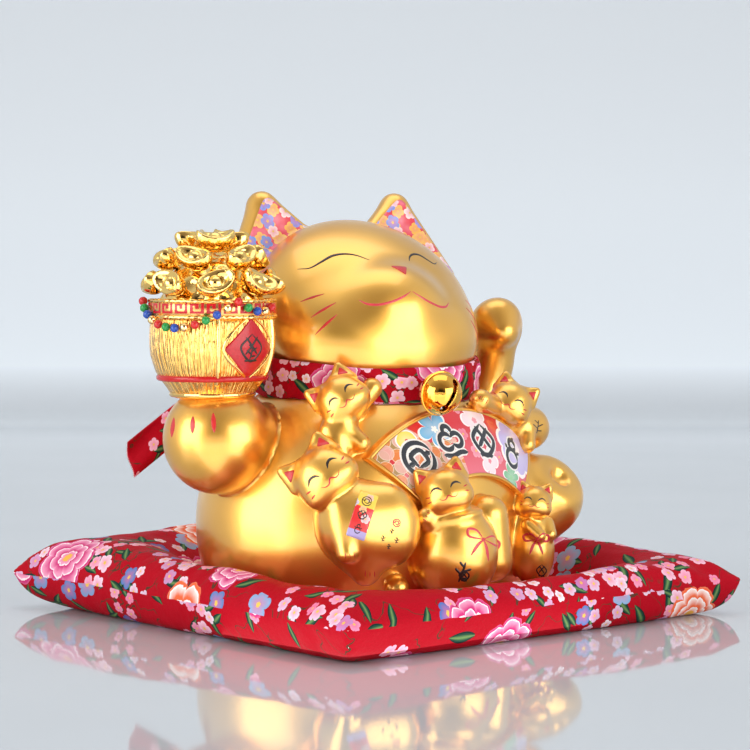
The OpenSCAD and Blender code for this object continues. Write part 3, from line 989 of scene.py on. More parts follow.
def seated_field(p):
    sack = facing((-20.5, -84, 40.5), 3, 0)
    ruff = facing((-24, -87, 59), 10, 0)
    d = ellipsoid(p, sack[0], (22.5, 20.5, 25.6), sack[1])
    d = blend(d, ellipsoid(p, ruff[0], (15, 12.5, 4), ruff[1]), 4)
    d = blend(d, limb(p, (3, -84, 57), (6, -84, 34), 11, 11), 2)
    d = blend(d, limb(p, (-36, -84, 57), (-41, -85, 59.5), 5.2, 4.6), 4)
    d = blend(d, head_of("seated", p), 2)
    return grown_from(d, belly(p), 4, 1.2)


def upper_left_field(p):
    d = joined([
        limb(p, (52, -53, 102), (65, -51, 98), 10, 12),
        limb(p, (37, -57, 110), (21, -60.5, 114.5), 5, 6.2),
        limb(p, (56, -60, 98), (53, -63, 90), 4.2, 4.4),
    ], 3)
    d = blend(d, head_of("upper_left", p), 2)
    return grown_from(d, belly(p), 4, 1.2)


def small_field(p):
    trunk = facing((43, -76, 38), 5, 0)
    d = joined([
        ellipsoid(p, trunk[0], (12.2, 12.2, 21.2), trunk[1]),
        limb(p, (34, -83, 50), (37, -88, 45), 3.6, 3.4),
        limb(p, (48, -83, 50), (46, -87, 45), 3.6, 3.4),
    ], 2)
    d = blend(d, head_of("small", p), 1.6)
    return grown_from(d, belly(p), 3, 1.2)


def make_kittens():
    spans = {
        "upper_right": (upper_right_field, (-84, -66, 78), (-32, -24, 138)),
        "reclining": (reclining_field, (-110, -98, 20), (-36, -32, 106)),
        "seated": (seated_field, (-56, -112, 10), (22, -60, 94)),
        "upper_left": (upper_left_field, (8, -80, 78), (82, -34, 132)),
        "small": (small_field, (24, -96, 10), (60, -58, 78)),
    }
    made = []
    for name, (field, low, high) in spans.items():
        kitten = "kitten_" + name
        made.append(cast(kitten + "_casting", field, low, high, 1.05, GOLD, nodes=[kitten]))
    return made


kittens = make_kittens()


# ---------------------------------------------------------------- fan

FAN_PIVOT = (2.0, 27.0)
FAN_INNER, FAN_OUTER, FAN_SPREAD = 50.0, 85.0, 44.0
FAN_MIDDLE = (FAN_INNER + FAN_OUTER) / 2


def fan_point(turn, reach, out):
    """A point over the belly: angle from the fan's middle, distance from its pivot."""
    a = math.radians(turn)
    x, z = FAN_PIVOT[0] + reach * math.sin(a), FAN_PIVOT[1] + reach * math.cos(a)
    rx, ry, rz = [r + out for r in BODY_RADII]
    inside = 1 - (x / rx) ** 2 - ((z - BODY_CENTRE[2]) / rz) ** 2
    return vec(x, BODY_CENTRE[1] - ry * math.sqrt(max(inside, 0)), z)


def make_fan():
    rim = [(0.0, -0.4), (0.0, 2.3), (0.25, 3.0), (0.9, 3.35), (1.6, 3.0), (1.9, 2.5)]

    def stops(half, spacing):
        edge = [d for d, _ in rim]
        inner = np.linspace(-half + 2.6, half - 2.6, int(2 * half / spacing))
        return [-half + d for d in edge] + list(inner) + [half - d for d in reversed(edge)]

    def rank(k, count):
        return min(k, count - 1 - k)

    def over_belly(u, v, out):
        return fan_point(math.degrees(u / FAN_MIDDLE), FAN_MIDDLE + v, out)

    across, up = stops(FAN_MIDDLE * math.radians(FAN_SPREAD), 1.6), stops(17.5, 1.6)
    front, back = [], []
    for i, u in enumerate(across):
        for j, v in enumerate(up):
            k = min(rank(i, len(across)), rank(j, len(up)))
            out = rim[k][1] if k < len(rim) else 2.5
            front.append(over_belly(u, v, out))
            back.append(over_belly(u, v, -0.9))
    plaque = new_object("fan_casting", front + back, closed_sheet(len(across), len(up)), GOLD)
    piece(plaque, "cat", "pearl_gold_glaze", ["fan_plaque"])
    inset = 2.0
    us = np.linspace(across[0] + inset, across[-1] - inset, 84)
    vs = np.linspace(up[0] + inset, up[-1] - inset, 28)
    uv = [(u, v) for u in us for v in vs]
    verts = [over_belly(u, v, 2.62) for u, v in uv]
    faces = grid(len(us), len(vs))
    printed = new_object("fan_printed_face", verts, faces, fan_print(), uv)
    piece(printed, "cat", "fan_print")
    return plaque, printed


fan = make_fan()


# ---------------------------------------------------------------- painted faces and motifs

MOTIFS = {
    "coin": [arc((0, 0), 1, 0, 360, 25), [(-0.4, -0.4), (0.4, -0.4), (0.4, 0.4), (-0.4, 0.4), (-0.4, -0.4)],
             [(-0.95, 0), (-0.45, 0)], [(0.95, 0), (0.45, 0)]],
    "cloud": [arc((-0.35, 0.1), 0.5, 20, 330, 15), arc((0.5, 0.05), 0.42, -160, 150, 13),
              [(-1, -0.62), (-0.3, -0.8), (0.4, -0.72), (1, -0.85)], arc((0.05, 0.7), 0.3, -30, 210, 9)],
    "knot": [[(0, 1), (0.95, 0), (0, -1), (-0.95, 0), (0, 1)], [(-0.55, 0.8), (0.55, -0.5)],
             [(0.55, 0.8), (-0.55, -0.5)], [(-0.6, -0.95), (0.6, -0.95)]],
    "gourd": [arc((0, -0.4), 0.58, 0, 360, 17), arc((0, 0.5), 0.34, 0, 360, 13),
              [(0, 0.85), (0.25, 1.1)], [(-0.8, 0.3), (-0.5, 0.05)], [(0.8, 0.3), (0.5, 0.05)]],
    "sprig": [[(-0.2, -1), (0, 0), (0.1, 1)], [(0, 0), (0.8, 0.5)], [(-0.05, -0.3), (-0.8, 0.2)],
              [(0.05, 0.5), (-0.5, 0.9)], [(-0.1, -0.6), (0.6, -0.5)]],
}


def motif(paint, place, name, size, width, height=0.16, at=(0, 0), turn=0.0):
    axes = size * turn_z(turn)[:2, :2]
    for line in MOTIFS[name]:
        points = [vec(*at) + axes @ vec(*point) for point in line]
        paint.stroke(place, points, width, height, taper=0.12)


def bow(paint, place, size, width):
    """A ribbon tied in a bow: two loops, a knot and two falling ends."""
    for s in (-1, 1):
        loop = [(0, 0), (s * 0.5, 0.42), (s * 1.0, 0.36), (s * 0.86, -0.05), (0, 0)]
        tail = [(0, 0), (s * 0.28, -0.45), (s * 0.55, -1.15)]
        for line, w in ((loop, width), (tail, width * 1.2)):
            paint.stroke(place, [(x * size, y * size) for x, y in line], w)
    paint.stroke(place, [(0, size * 0.13), (0, -size * 0.13)], width * 2)


def kitten_markings(ink, red, place, r):
    """Closed eyes, two whiskers a side, red ears and a smile, sized by the head's radius."""
    eye = ((0.17, 0.0), (0.3, 0.14), (0.47, 0.17), (0.64, 0.05))
    lip = [(-0.4, -0.26), (-0.3, -0.36), (-0.15, -0.38)]
    smile = lip + [(0, -0.27)] + [(-x, y) for x, y in reversed(lip)]
    for s in (-1, 1):
        ink.stroke(place, [(s * x * r, y * r) for x, y in eye], 0.1 * r)
        for y0, y1 in ((-0.1, -0.04), (-0.27, -0.29)):
            red.stroke(place, [(s * 0.68 * r, y0 * r), (s * 0.86 * r, y1 * r)], 0.06 * r)
        ear = [(s * 0.8 * r, 1.04 * r), (s * 0.9 * r, 0.6 * r), (s * 0.5 * r, 0.82 * r)]
        red.patch(place, rounded(ear, 0.09 * r), rings=3, spacing=0.5)
    red.stroke(place, [(x * r, y * r) for x, y in smile], 0.055 * r)


def claws(red, place, gap, length, width):
    """Three painted toe lines; the middle one is a little shorter."""
    for k in (-1, 0, 1):
        red.stroke(place, [(k * gap, 0.15 * abs(k) * length), (k * gap * 1.08, -length)], width)


def cat_markings(ink, red, pink, at):
    eye = ((12, 6.3), (16.5, 11), (22.5, 13.6), (29, 13.9), (35.7, 11.4), (41.8, 9.6), (47, 11.9))
    smile = ((-0.5, -22), (-5, -24.5), (-11, -26.3), (-18, -26.4), (-23.6, -24.2), (-27, -20.5))
    whiskers = (((51.5, -8.9), (40.7, -9.9)), ((49.6, -20.5), (37, -17.4)), ((48.9, -29.5), (38.2, -24.3)))
    middle = 2.0
    for s in (-1, 1):
        reach = 0.62 if s > 0 else 1.0
        ink.stroke(at, [(middle + s * (12 + (u - 12) * reach), v) for u, v in eye], 1.9, 0.2, 0.45)
        pink.stroke(at, [(middle + s * u, v) for u, v in smile], 1.3, 0.2, 0.25)
        for line in whiskers:
            round_cheek = 5.0 if s > 0 else 0.0
            red.stroke(at, [(middle + s * (u + round_cheek), v) for u, v in line], 1.9, 0.2, 0.6)
    nose = [(middle - 4.6, -2.4), (middle + 4.9, -2.8), (middle + 0.5, -11)]
    red.patch(at, rounded(nose, 1.2), 0.25, 4, 0.6)


def paint_everything():
    castings = finder(head, body, ball_paw, *kittens)
    fan_tree = finder(*fan)
    ink = Paint("black_brush_marks", INK, castings)
    red = Paint("red_brush_marks", PAINT_RED, castings)
    pink = Paint("pink_brush_marks", PAINT_PINK, castings)
    cat_markings(ink, red, pink, FACE_PLACE)
    for place, r in HEADS.values():
        kitten_markings(ink, red, place, r)
    claws(red, facing((-123.6, -3.5, 109), 0, 0.3), 10.2, 9.0, 2.8)
    claws(red, facing((-84, -77, 44), 10), 2.1, 2.6, 0.5)
    claws(red, facing((-68, -74, 33), 0), 2.2, 2.6, 0.5)
    claws(red, facing((-44, -88, 61), 60), 2.0, 2.4, 0.5)
    claws(red, facing((22, -62, 115), -30), 2.0, 2.4, 0.5)
    motif(ink, facing((-18, -87, 28)), "sprig", 5.0, 1.3, turn=-12)
    motif(ink, facing((-18, -87, 28)), "knot", 2.6, 0.9, at=(0.8, -1.4))
    for u, v, size in ((-4.5, -3, 1.5), (-1, 1.5, 1.4), (2.2, -2.2, 1.5), (-1, -6, 1.3)):
        motif(ink, facing((-58, -80, 50), -12), "sprig", size, 0.5, at=(u, v))
    motif(pink, facing((-58, -80, 50), -12), "coin", 1.8, 0.7, at=(0.5, 6))
    motif(ink, facing((47, -79, 24)), "knot", 2.8, 0.7)
    motif(ink, facing((62, -62, 99)), "sprig", 3.6, 0.6)
    bow(pink, facing((-10, -94, 45), -12), 8.5, 1.5)
    bow(pink, facing((43.5, -78.5, 40)), 6.5, 1.4)
    banner = Paint("banner_print", banner_print(), castings)
    strip = facing((-70.4, -71.2, 59.8), -17.6)
    banner.patch(strip, rounded([(-4.7, -12), (4.7, -12), (4.7, 12), (-4.7, 12)], 0.8), 0.16, 10)
    motif(ink, strip, "coin", 2.3, 0.7, 0.3, at=(0, 7.2))
    motif(ink, strip, "knot", 2.3, 0.7, 0.3, at=(0, 0))
    motif(ink, strip, "gourd", 2.3, 0.7, 0.3, at=(0, -7.2))
    for part in (ink, red, pink, banner):
        part.finish()
    grey = Paint("fan_motifs", gloss_paint("painted_charcoal", (0.035, 0.04, 0.05)), fan_tree)
    white = Paint("fan_motif_outlines", PAINT_WHITE, fan_tree)
    front = (vec(0, 0, 0), STRAIGHT_AHEAD)
    for turn, name in ((-29, "coin"), (-10, "cloud"), (9.5, "knot"), (29, "gourd")):
        a = math.radians(turn)
        reach = FAN_MIDDLE + 1.5
        at = (FAN_PIVOT[0] + reach * math.sin(a), FAN_PIVOT[1] + reach * math.cos(a))
        motif(white, front, name, 8.0, 4.6, 0.14, at=at, turn=-turn)
        motif(grey, front, name, 8.0, 3.2, 0.26, at=at, turn=-turn)
    white.finish()
    grey.finish()
    for side, ear in ((-1, ear_right), (1, ear_left)):
        corners = [in_head(side * x, y, z) for x, y, z in EAR_CORNERS]
        middle = sum(corners) / 3
        outward = unit(ear_facing(side))
        across = HEAD_TURN @ vec(1, 0, 0)
        up = unit(np.cross(outward, across))
        up = up if up[2] > 0 else -up
        place = (middle, np.stack([across, outward, up], 1))
        flower = Paint("ear_print_%s" % ("left" if side > 0 else "right"), ear_print(), finder(ear))
        outline = [((c - middle) @ across * 1.3, (c - middle) @ up * 1.18) for c in corners]
        flower.patch(place, rounded(outline, 7), 0.2, 12, 1.0)
        flower.finish()


paint_everything()


# ---------------------------------------------------------------- barrel of ingots

BARREL_BASE = vec(-104, 6, 118)
BARREL_RADIUS = 30.0


def lathe(name, profile, material, centre, count=128, slot="plated_gold", body="cat", nodes=()):
    """A turned body; profile runs from the axis at the bottom round to the axis at the top."""
    line = np.asarray(profile, float)
    verts, uv = [], []
    length = np.concatenate([[0], np.cumsum(np.linalg.norm(np.diff(line, axis=0), axis=1))])
    for k in range(count + 1):
        a = 2 * math.pi * k / count
        for j, (r, z) in enumerate(line):
            verts.append(vec(*centre) + (r * math.cos(a), r * math.sin(a), z))
            uv.append((a * BARREL_RADIUS, length[j]))
    o = new_object(name, verts, grid(count + 1, len(line)), material, uv)
    weld(o)
    return piece(o, body, slot, nodes)


def weld(o, distance=0.001):
    mesh = bmesh.new()
    mesh.from_mesh(o.data)
    bmesh.ops.remove_doubles(mesh, verts=mesh.verts, dist=distance * MM)
    mesh.to_mesh(o.data)
    mesh.free()


def torus(name, radius, wire, material, centre, slot, body="cat", nodes=(), ridges=0, around=96, turn=None):
    """A ring, plain or twisted like a rope, lying flat unless turn gives its axes."""
    verts = []
    tube = 14
    for i in range(around):
        a = 2 * math.pi * i / around
        for j in range(tube):
            b = 2 * math.pi * j / tube
            w = wire * (1 + (0.16 * math.cos(2 * b - ridges * a) if ridges else 0))
            reach = radius + w * math.cos(b)
            p = vec(reach * math.cos(a), reach * math.sin(a), w * math.sin(b))
            verts.append(vec(*centre) + (p if turn is None else turn @ p))
    o = new_object(name, verts, grid(around, tube, close_rows=True, close_cols=True), material)
    return piece(o, body, slot, nodes)


def barrel_gold():
    """Plated wall with upright combed ripples and shallow hammer marks."""
    n = Nodes("barrel_gold")
    at = n.flat_mm()
    part = n.parts(at)
    round_wall, up_wall = n.times(part[0], 0.9), n.times(part[1], 0.06)
    comb_at = n.add("CombineXYZ", {0: round_wall, 1: up_wall}).outputs[0]
    comb = n.cloud(comb_at, 1.0, 2.0, 0.45)
    dents = n.cloud(at, 0.16, 1.0)
    normal = n.bump(comb, 0.0022, 0.9, n.bump(dents, 0.0015, 0.5))
    return n.finish(
        Base_Color=n.mix(n.ramp(comb, 0.3, 0.7), rgb(0.80, 0.38, 0.07), rgb(0.95, 0.62, 0.20)),
        Metallic=1.0, Roughness=0.07, Normal=normal,
    )


def meander_band():
    """Pink-red enamel with a raised gold key pattern."""
    n = Nodes("meander_band")
    part = n.parts(n.flat_mm())
    cell = 7.85
    x = n.times(n.math("FRACT", n.math("DIVIDE", part[0], cell)), 6.0)
    y = n.times(n.math("FRACT", n.math("DIVIDE", part[1], 9.0)), 6.0)
    bars = ((0.5, 3.0, 0.45, 3.0), (2.6, 4.6, 2.2, 0.42), (4.6, 3.4, 0.42, 1.5), (3.6, 2.0, 1.2, 0.42),
            (2.5, 2.6, 0.42, 0.8), (3.0, 0.45, 3.0, 0.4))
    total = 0.0
    for cx, cy, w, h in bars:
        in_x = n.below(n.math("ABSOLUTE", n.math("SUBTRACT", x, cx)), w)
        in_y = n.below(n.math("ABSOLUTE", n.math("SUBTRACT", y, cy)), h)
        total = n.math("MAXIMUM", total, n.times(in_x, in_y))
    tone = n.mix(total, rgb(0.54, 0.010, 0.016), rgb(0.90, 0.48, 0.16))
    return n.finish(
        Base_Color=tone, Metallic=n.times(total, 0.9), Roughness=0.22,
        Normal=n.bump(total, 0.0004, 0.8), Coat_Weight=0.1, Coat_Roughness=0.06,
    )


INGOT_GOLD = plated_gold("ingot_gold", (0.96, 0.64, 0.20), 0.10)


def ingot_shape(p):
    """A boat-shaped ingot with raised ends, a dished deck and a round boss."""
    d = ellipsoid(p, (0, 0, 4.2), (10.6, 6.2, 8.6))
    d = carve(d, ellipsoid(p, (0, 0, 14.6), (13.5, 40, 9.6)), 0.8)
    d = carve(d, ellipsoid(p, (0, 0, 8.4), (7.6, 4.4, 5.6)), 0.7)
    return blend(d, ellipsoid(p, (0, 0, 1.8), (4.5, 4.2, 4.6)), 0.6)


def make_ingots():
    verts, quads = surface_of(ingot_shape, (-12, -8, -6), (12, 8, 12), 0.62)
    all_verts, all_faces = [], []
    rings = ((8, 28.2, 175, 60, 10), (6, 21.6, 186.5, 42, 30), (3, 10.4, 195.6, 16, 0))
    count = 0
    for number, radius, height, tip, start in rings:
        for k in range(number):
            a = start + k * 360 / number
            wander = 9 * math.sin(5.1 * count)
            spin = turn_z(a) @ turn_y(tip) @ turn_z(90 + 24 * math.sin(2.7 * count + 1)) @ turn_x(wander)
            centre = vec(BARREL_BASE[0], BARREL_BASE[1], height) + turn_z(a) @ vec(radius, 0, 0)
            base = len(all_verts) * len(verts)
            all_verts.append(0.98 * verts @ spin.T + centre)
            all_faces.append(quads + base)
            count += 1
    o = new_object("ingot_heap", np.vstack(all_verts), np.vstack(all_faces), INGOT_GOLD)
    return piece(o, "cat", "plated_gold", ["gold_ingots"])


def mound_field(p):
    q = p - (BARREL_BASE + vec(0, 0, 6))
    d = ellipsoid(q, (0, 0, 32), (25.6, 25.6, 34.5))
    d = blend(d, limb(q, (0, 0, 29), (0, 0, 40), 25.0, 25.6), 3)
    lumps = np.sin(q[:, 0] * 0.42 + 1) * np.sin(q[:, 1] * 0.45) * np.sin(q[:, 2] * 0.4)
    return d - 1.3 * lumps


BEAD_COUNT = 17
BEAD_RADIUS = 2.28


def make_beads():
    """Glass and gold beads on a thread that swags round the barrel's rim."""
    colours = {
        "red": gloss_paint("red_glass", (0.60, 0.02, 0.02), 0.1),
        "green": gloss_paint("green_glass", (0.02, 0.30, 0.06), 0.1),
        "blue": gloss_paint("blue_glass", (0.02, 0.08, 0.42), 0.1),
        "gold": plated_gold("bead_gold", (0.96, 0.70, 0.34), 0.12),
    }
    outline = [(0.0, -1.0)] + arc((0, 0), 1, -78, 78, 12) + [(0.0, 1.0)]
    centres = []
    for k in range(BEAD_COUNT):
        a = math.radians(-214 + 9 * k)
        drop = 13 * math.sin(math.radians(min(k, 12) * 15)) + 5 * math.sin(math.radians(max(k - 12, 0) * 36))
        centres.append(BARREL_BASE + vec(34.95 * math.cos(a), 34.95 * math.sin(a), 49 - drop))
    centres = np.array(centres)
    for kind, first in (("red", 0), ("green", 1), ("blue", 2), ("gold", 3)):
        verts, faces = [], []
        for k in range(first, BEAD_COUNT, 4):
            before, after = centres[max(k - 1, 0)], centres[min(k + 1, BEAD_COUNT - 1)]
            along = unit(after - before)
            side = unit(np.cross(along, vec(0.3, 0.2, 1)))
            frame_of_bead = np.stack([side, np.cross(along, side), along], 1)
            count = 24
            faces += grid(count, len(outline), len(verts), close_rows=True)
            for i in range(count):
                a = 2 * math.pi * i / count
                for r, z in outline:
                    rr = BEAD_RADIUS * r * (1 + 0.03 * math.cos(8 * a))
                    point = vec(rr * math.cos(a), rr * math.sin(a), BEAD_RADIUS * 0.94 * z)
                    verts.append(centres[k] + frame_of_bead @ point)
        o = new_object("bead_string_" + kind, verts, faces, colours[kind])
        weld(o)
        piece(o, "cat", kind + "_bead", ["beads_" + kind])


def make_barrel():
    wall = [(0, 0), (18.6, 0), (20.2, 0.7), (21.6, 2.6), (23.6, 5.6), (26.4, 9.4), (28.8, 13.2), (30.4, 18),
            (31.5, 22), (31.9, 26), (32, 30), (31.9, 34), (31.6, 38), (31.3, 40.6), (31.0, 41), (31.0, 41.4)]
    rim = [(31.9, 41.2), (32.4, 41.8), (32.3, 44), (32.4, 47.4), (32.0, 48.6), (30.8, 49.6), (29.2, 49.8)]
    inside = [(27.9, 49.2), (27.6, 47), (27.6, 40), (27.8, 30), (26.0, 18), (20, 7), (0, 5)]
    cup = lathe("barrel_staves", wall + rim + inside, barrel_gold(), BARREL_BASE, nodes=["barrel"])
    belt = [(32.35, 42.0), (32.62, 42.2), (32.62, 48.0), (32.3, 48.3)]
    lathe("barrel_meander_band", belt, meander_band(), BARREL_BASE, slot="fan_print")
    top, lip, waist, foot = (BARREL_BASE + vec(0, 0, z) for z in (41.2, 49.2, 10.4, 2.0))
    torus("barrel_top_rope", 32.0, 1.1, PLATED, top, "plated_gold", ridges=60, around=240)
    torus("barrel_rim_rope", 31.6, 1.0, PLATED, lip, "plated_gold", ridges=56, around=240)
    enamel = gloss_paint("hoop_enamel", (0.54, 0.012, 0.012), 0.25)
    torus("barrel_hoop", 26.9, 1.7, enamel, waist, "fan_print", around=128)
    torus("barrel_foot_ring", 20.6, 1.5, PLATED, foot, "plated_gold", around=128)
    cast("ingot_core", mound_field, (-134, -24, 119), (-74, 36, 196), 1.5, INGOT_GOLD, "plated_gold",
         ["ingot_mound"])
    make_ingots()
    make_beads()
    tree = finder(cup)
    front = (BARREL_BASE, STRAIGHT_AHEAD)
    diamond = [(0, 9.5), (15, 25.5), (0, 41), (-15, 25.5)]
    label = Paint("barrel_label", gloss_paint("label_enamel", (0.52, 0.008, 0.014), 0.3), tree)
    label.patch(front, rounded(diamond, 0.8), 0.25, 12)
    label.finish()
    gold = Paint("barrel_straps", PLATED, tree, "plated_gold")
    gold.stroke(front, diamond + diamond[:1], 1.5, 1.1, 0.01)
    for turn in (-32, 32):
        at = (BARREL_BASE, turn_z(turn) @ front[1])
        gold.stroke(at, [(0, 6), (0, 24), (0, 41)], 2.6, 1.2, 0.01)
    gold.finish()
    dark = Paint("barrel_label_motif", INK, tree)
    motif(dark, front, "knot", 6.8, 1.6, 0.5, at=(0, 26))
    motif(dark, front, "sprig", 4.0, 1.3, 0.5, at=(0, 24))
    dark.finish()


make_barrel()


# ---------------------------------------------------------------- collar, knot, tails and bell

COLLAR_CENTRE = vec(-4.6, 1.4, 128)
COLLAR_TURN = HEAD_TURN @ turn_x(7)
COLLAR_RADII = (60.2, 54.2)
COLLAR_REACH = (63.4, 57.4)


def noise3(p, scale):
    return np.array([mathutils.noise.noise(Vector(q) * scale) for q in np.asarray(p)])


def pushed_clear(verts, field, gap):
    """Moves points that are within gap of field's surface, or inside it, outward to gap."""
    verts = np.array(verts, float)
    for _ in range(6):
        d = field(verts)
        low = d < gap
        if not low.any():
            break
        g = gradient(field, verts[low])
        g /= np.linalg.norm(g, axis=1)[:, None] + 1e-9
        verts[low] += g * (gap - d[low])[:, None]
    return verts


def near_collar(p):
    return np.minimum.reduce([belly(p), head_shape(p), upper_right_field(p), upper_left_field(p)])


def make_collar():
    """A padded band of printed cotton, stitched along its middle and drawn into folds."""
    section = []
    for k in range(36):
        a = 2 * math.pi * k / 36
        c, s = math.cos(a), math.sin(a)
        thick = 2.1 * math.copysign(abs(c) ** 0.7, c)
        height = 11.0 * math.copysign(abs(s) ** 0.8, s)
        crease = 0.9 * math.exp(-((height + 1.0) / 1.3) ** 2) if c > 0 else 0.0
        section.append((thick - crease, height))
    around = 300
    verts, uv = [], []
    for i in range(around + 1):
        a = 2 * math.pi * i / around
        along = a * 57.0
        for t, h in section:
            fold = 0.75 * math.sin(a * 19 + h * 0.16 + 1.3 * math.sin(3 * a)) * math.exp(-((h - 5) / 6) ** 2)
            fold += 0.55 * math.sin(a * 27 - h * 0.2 + math.sin(5 * a)) * math.exp(-((h + 6) / 5) ** 2)
            bulge = t + (fold if t > 0 else 0.25 * fold)
            x, y = (COLLAR_RADII[0] + bulge) * math.cos(a), (COLLAR_RADII[1] + bulge) * math.sin(a)
            verts.append(COLLAR_CENTRE + COLLAR_TURN @ vec(x, y, h + 0.35 * math.sin(7 * a)))
            uv.append((along, h + (3 if t > 0 else -40)))
    verts = pushed_clear(verts, near_collar, 0.35)
    faces = grid(around + 1, len(section), close_cols=True)
    o = new_object("collar_padded_band", verts, faces, printed_cotton("collar_cotton", 0.8, (20, 30, 0)), uv)
    weld(o)
    piece(o, "cat", "red_print_cotton", ["collar_band"])


def make_knot():
    """The square knot that ties the band at the nape."""
    centre = vec(9, 62, 133)
    verts, uv = [], []
    rows, around = 34, 64
    for i in range(around + 1):
        a = 2 * math.pi * i / around
        for j in range(rows + 1):
            b = math.pi * (j / rows - 0.5)
            waist = 1 - 0.16 * math.exp(-(math.degrees(b) / 16) ** 2)
            fold = 1 + 0.07 * math.sin(5 * a + 2.2 * b) * math.cos(b)
            r = 8.6 * math.cos(b) * waist * fold
            verts.append(centre + HEAD_TURN @ vec(12.6 * math.sin(b), r * math.cos(a), r * math.sin(a)))
            uv.append((a * 9, b * 12))
    verts = pushed_clear(verts, lambda p: np.minimum(belly(p), head_shape(p)), 0.4)
    verts = pushed_clear(verts, collar_outside, 0.3)
    faces = grid(around + 1, rows + 1, flip=True)
    o = new_object("collar_tied_knot", verts, faces, printed_cotton("knot_cotton", 0.7, (30, 90, 0)), uv)
    weld(o, 0.01)
    piece(o, "cat", "red_print_cotton", ["collar_knot"])


def collar_outside(p):
    q = (p - COLLAR_CENTRE) @ COLLAR_TURN
    k = np.sqrt((q[:, 0] / COLLAR_REACH[0]) ** 2 + (q[:, 1] / COLLAR_REACH[1]) ** 2)
    radial = (k - 1) * 60
    return np.maximum(radial, np.abs(q[:, 2]) - 12.5)


def make_tail(name, node, path, sideways, normal, shift):
    """A ribbon end of the collar: two layers, softly waved, with a turned hem."""
    line = smooth_line(path, 1.6)
    half = np.interp(np.linspace(0, 1, len(line)), np.linspace(0, 1, 5), (7, 8.5, 9.3, 9.5, 9.5))
    length = np.concatenate([[0], np.cumsum(np.linalg.norm(np.diff(line, axis=0), axis=1))])
    side, out = vec(*sideways), vec(*normal)
    cols = 17
    verts, uv = [], []
    for layer in (1, -1):
        for i, p in enumerate(line):
            t = length[i] / length[-1]
            for j in range(cols):
                s = -1 + 2 * j / (cols - 1)
                wave = 1.5 * t * math.sin(3.0 * s + 7 * t) + 1.1 * (1 - t) * math.cos(4.2 * s)
                thick = 0.55 * layer * (1 - 0.85 * abs(s) ** 6)
                hem = 0.25 * layer * math.exp(-((abs(s) - 0.86) / 0.05) ** 2)
                q = p + side * half[i] * s + out * (wave + thick + hem)
                verts.append(q)
                uv.append((length[i], half[i] * s + (0 if layer > 0 else 60)))
    verts = pushed_clear(verts, lambda p: np.minimum.reduce([belly(p), head_shape(p), tail_field(p)]), 0.6)
    faces = closed_sheet(len(line), cols, flip=True)
    o = new_object(name, verts, faces, printed_cotton(name + "_cotton", 0.75, shift), uv)
    piece(o, "cat", "red_print_cotton", [node])


BELL_CENTRE = vec(-16.7, -70.2, 120)
BELL_OUT = vec(-0.138, -0.982, -0.13)
BELL_RADIUS, BELL_WALL = 11.0, 0.8
SLIT_REACH, SLIT_WIDTH, HOLE_RADIUS = 7, 2.3, 1.9
PELLET_RADIUS = 2.4


def aim(v):
    """Axes that turn +Z to point along v."""
    v = unit(np.asarray(v, float))
    return turn_z(math.degrees(math.atan2(v[1], v[0]))) @ turn_y(math.degrees(math.acos(v[2])))


BELL_AXES = aim(BELL_OUT) @ turn_z(-25)
HANG_POINT = BELL_CENTRE - BELL_OUT * 13


def bell_metal():
    n = Nodes("bell_metal")
    at = n.object_mm()
    ripple = n.cloud(at, 0.28, 1.5)
    scratch = n.cloud(at, 6.0, 3.0, 0.7)
    return n.finish(
        Base_Color=rgb(0.93, 0.47, 0.075), Metallic=1.0, Roughness=n.ramp(scratch, 0.3, 0.8, 0.04, 0.12),
        Normal=n.bump(ripple, 0.0003, 0.5),
    )


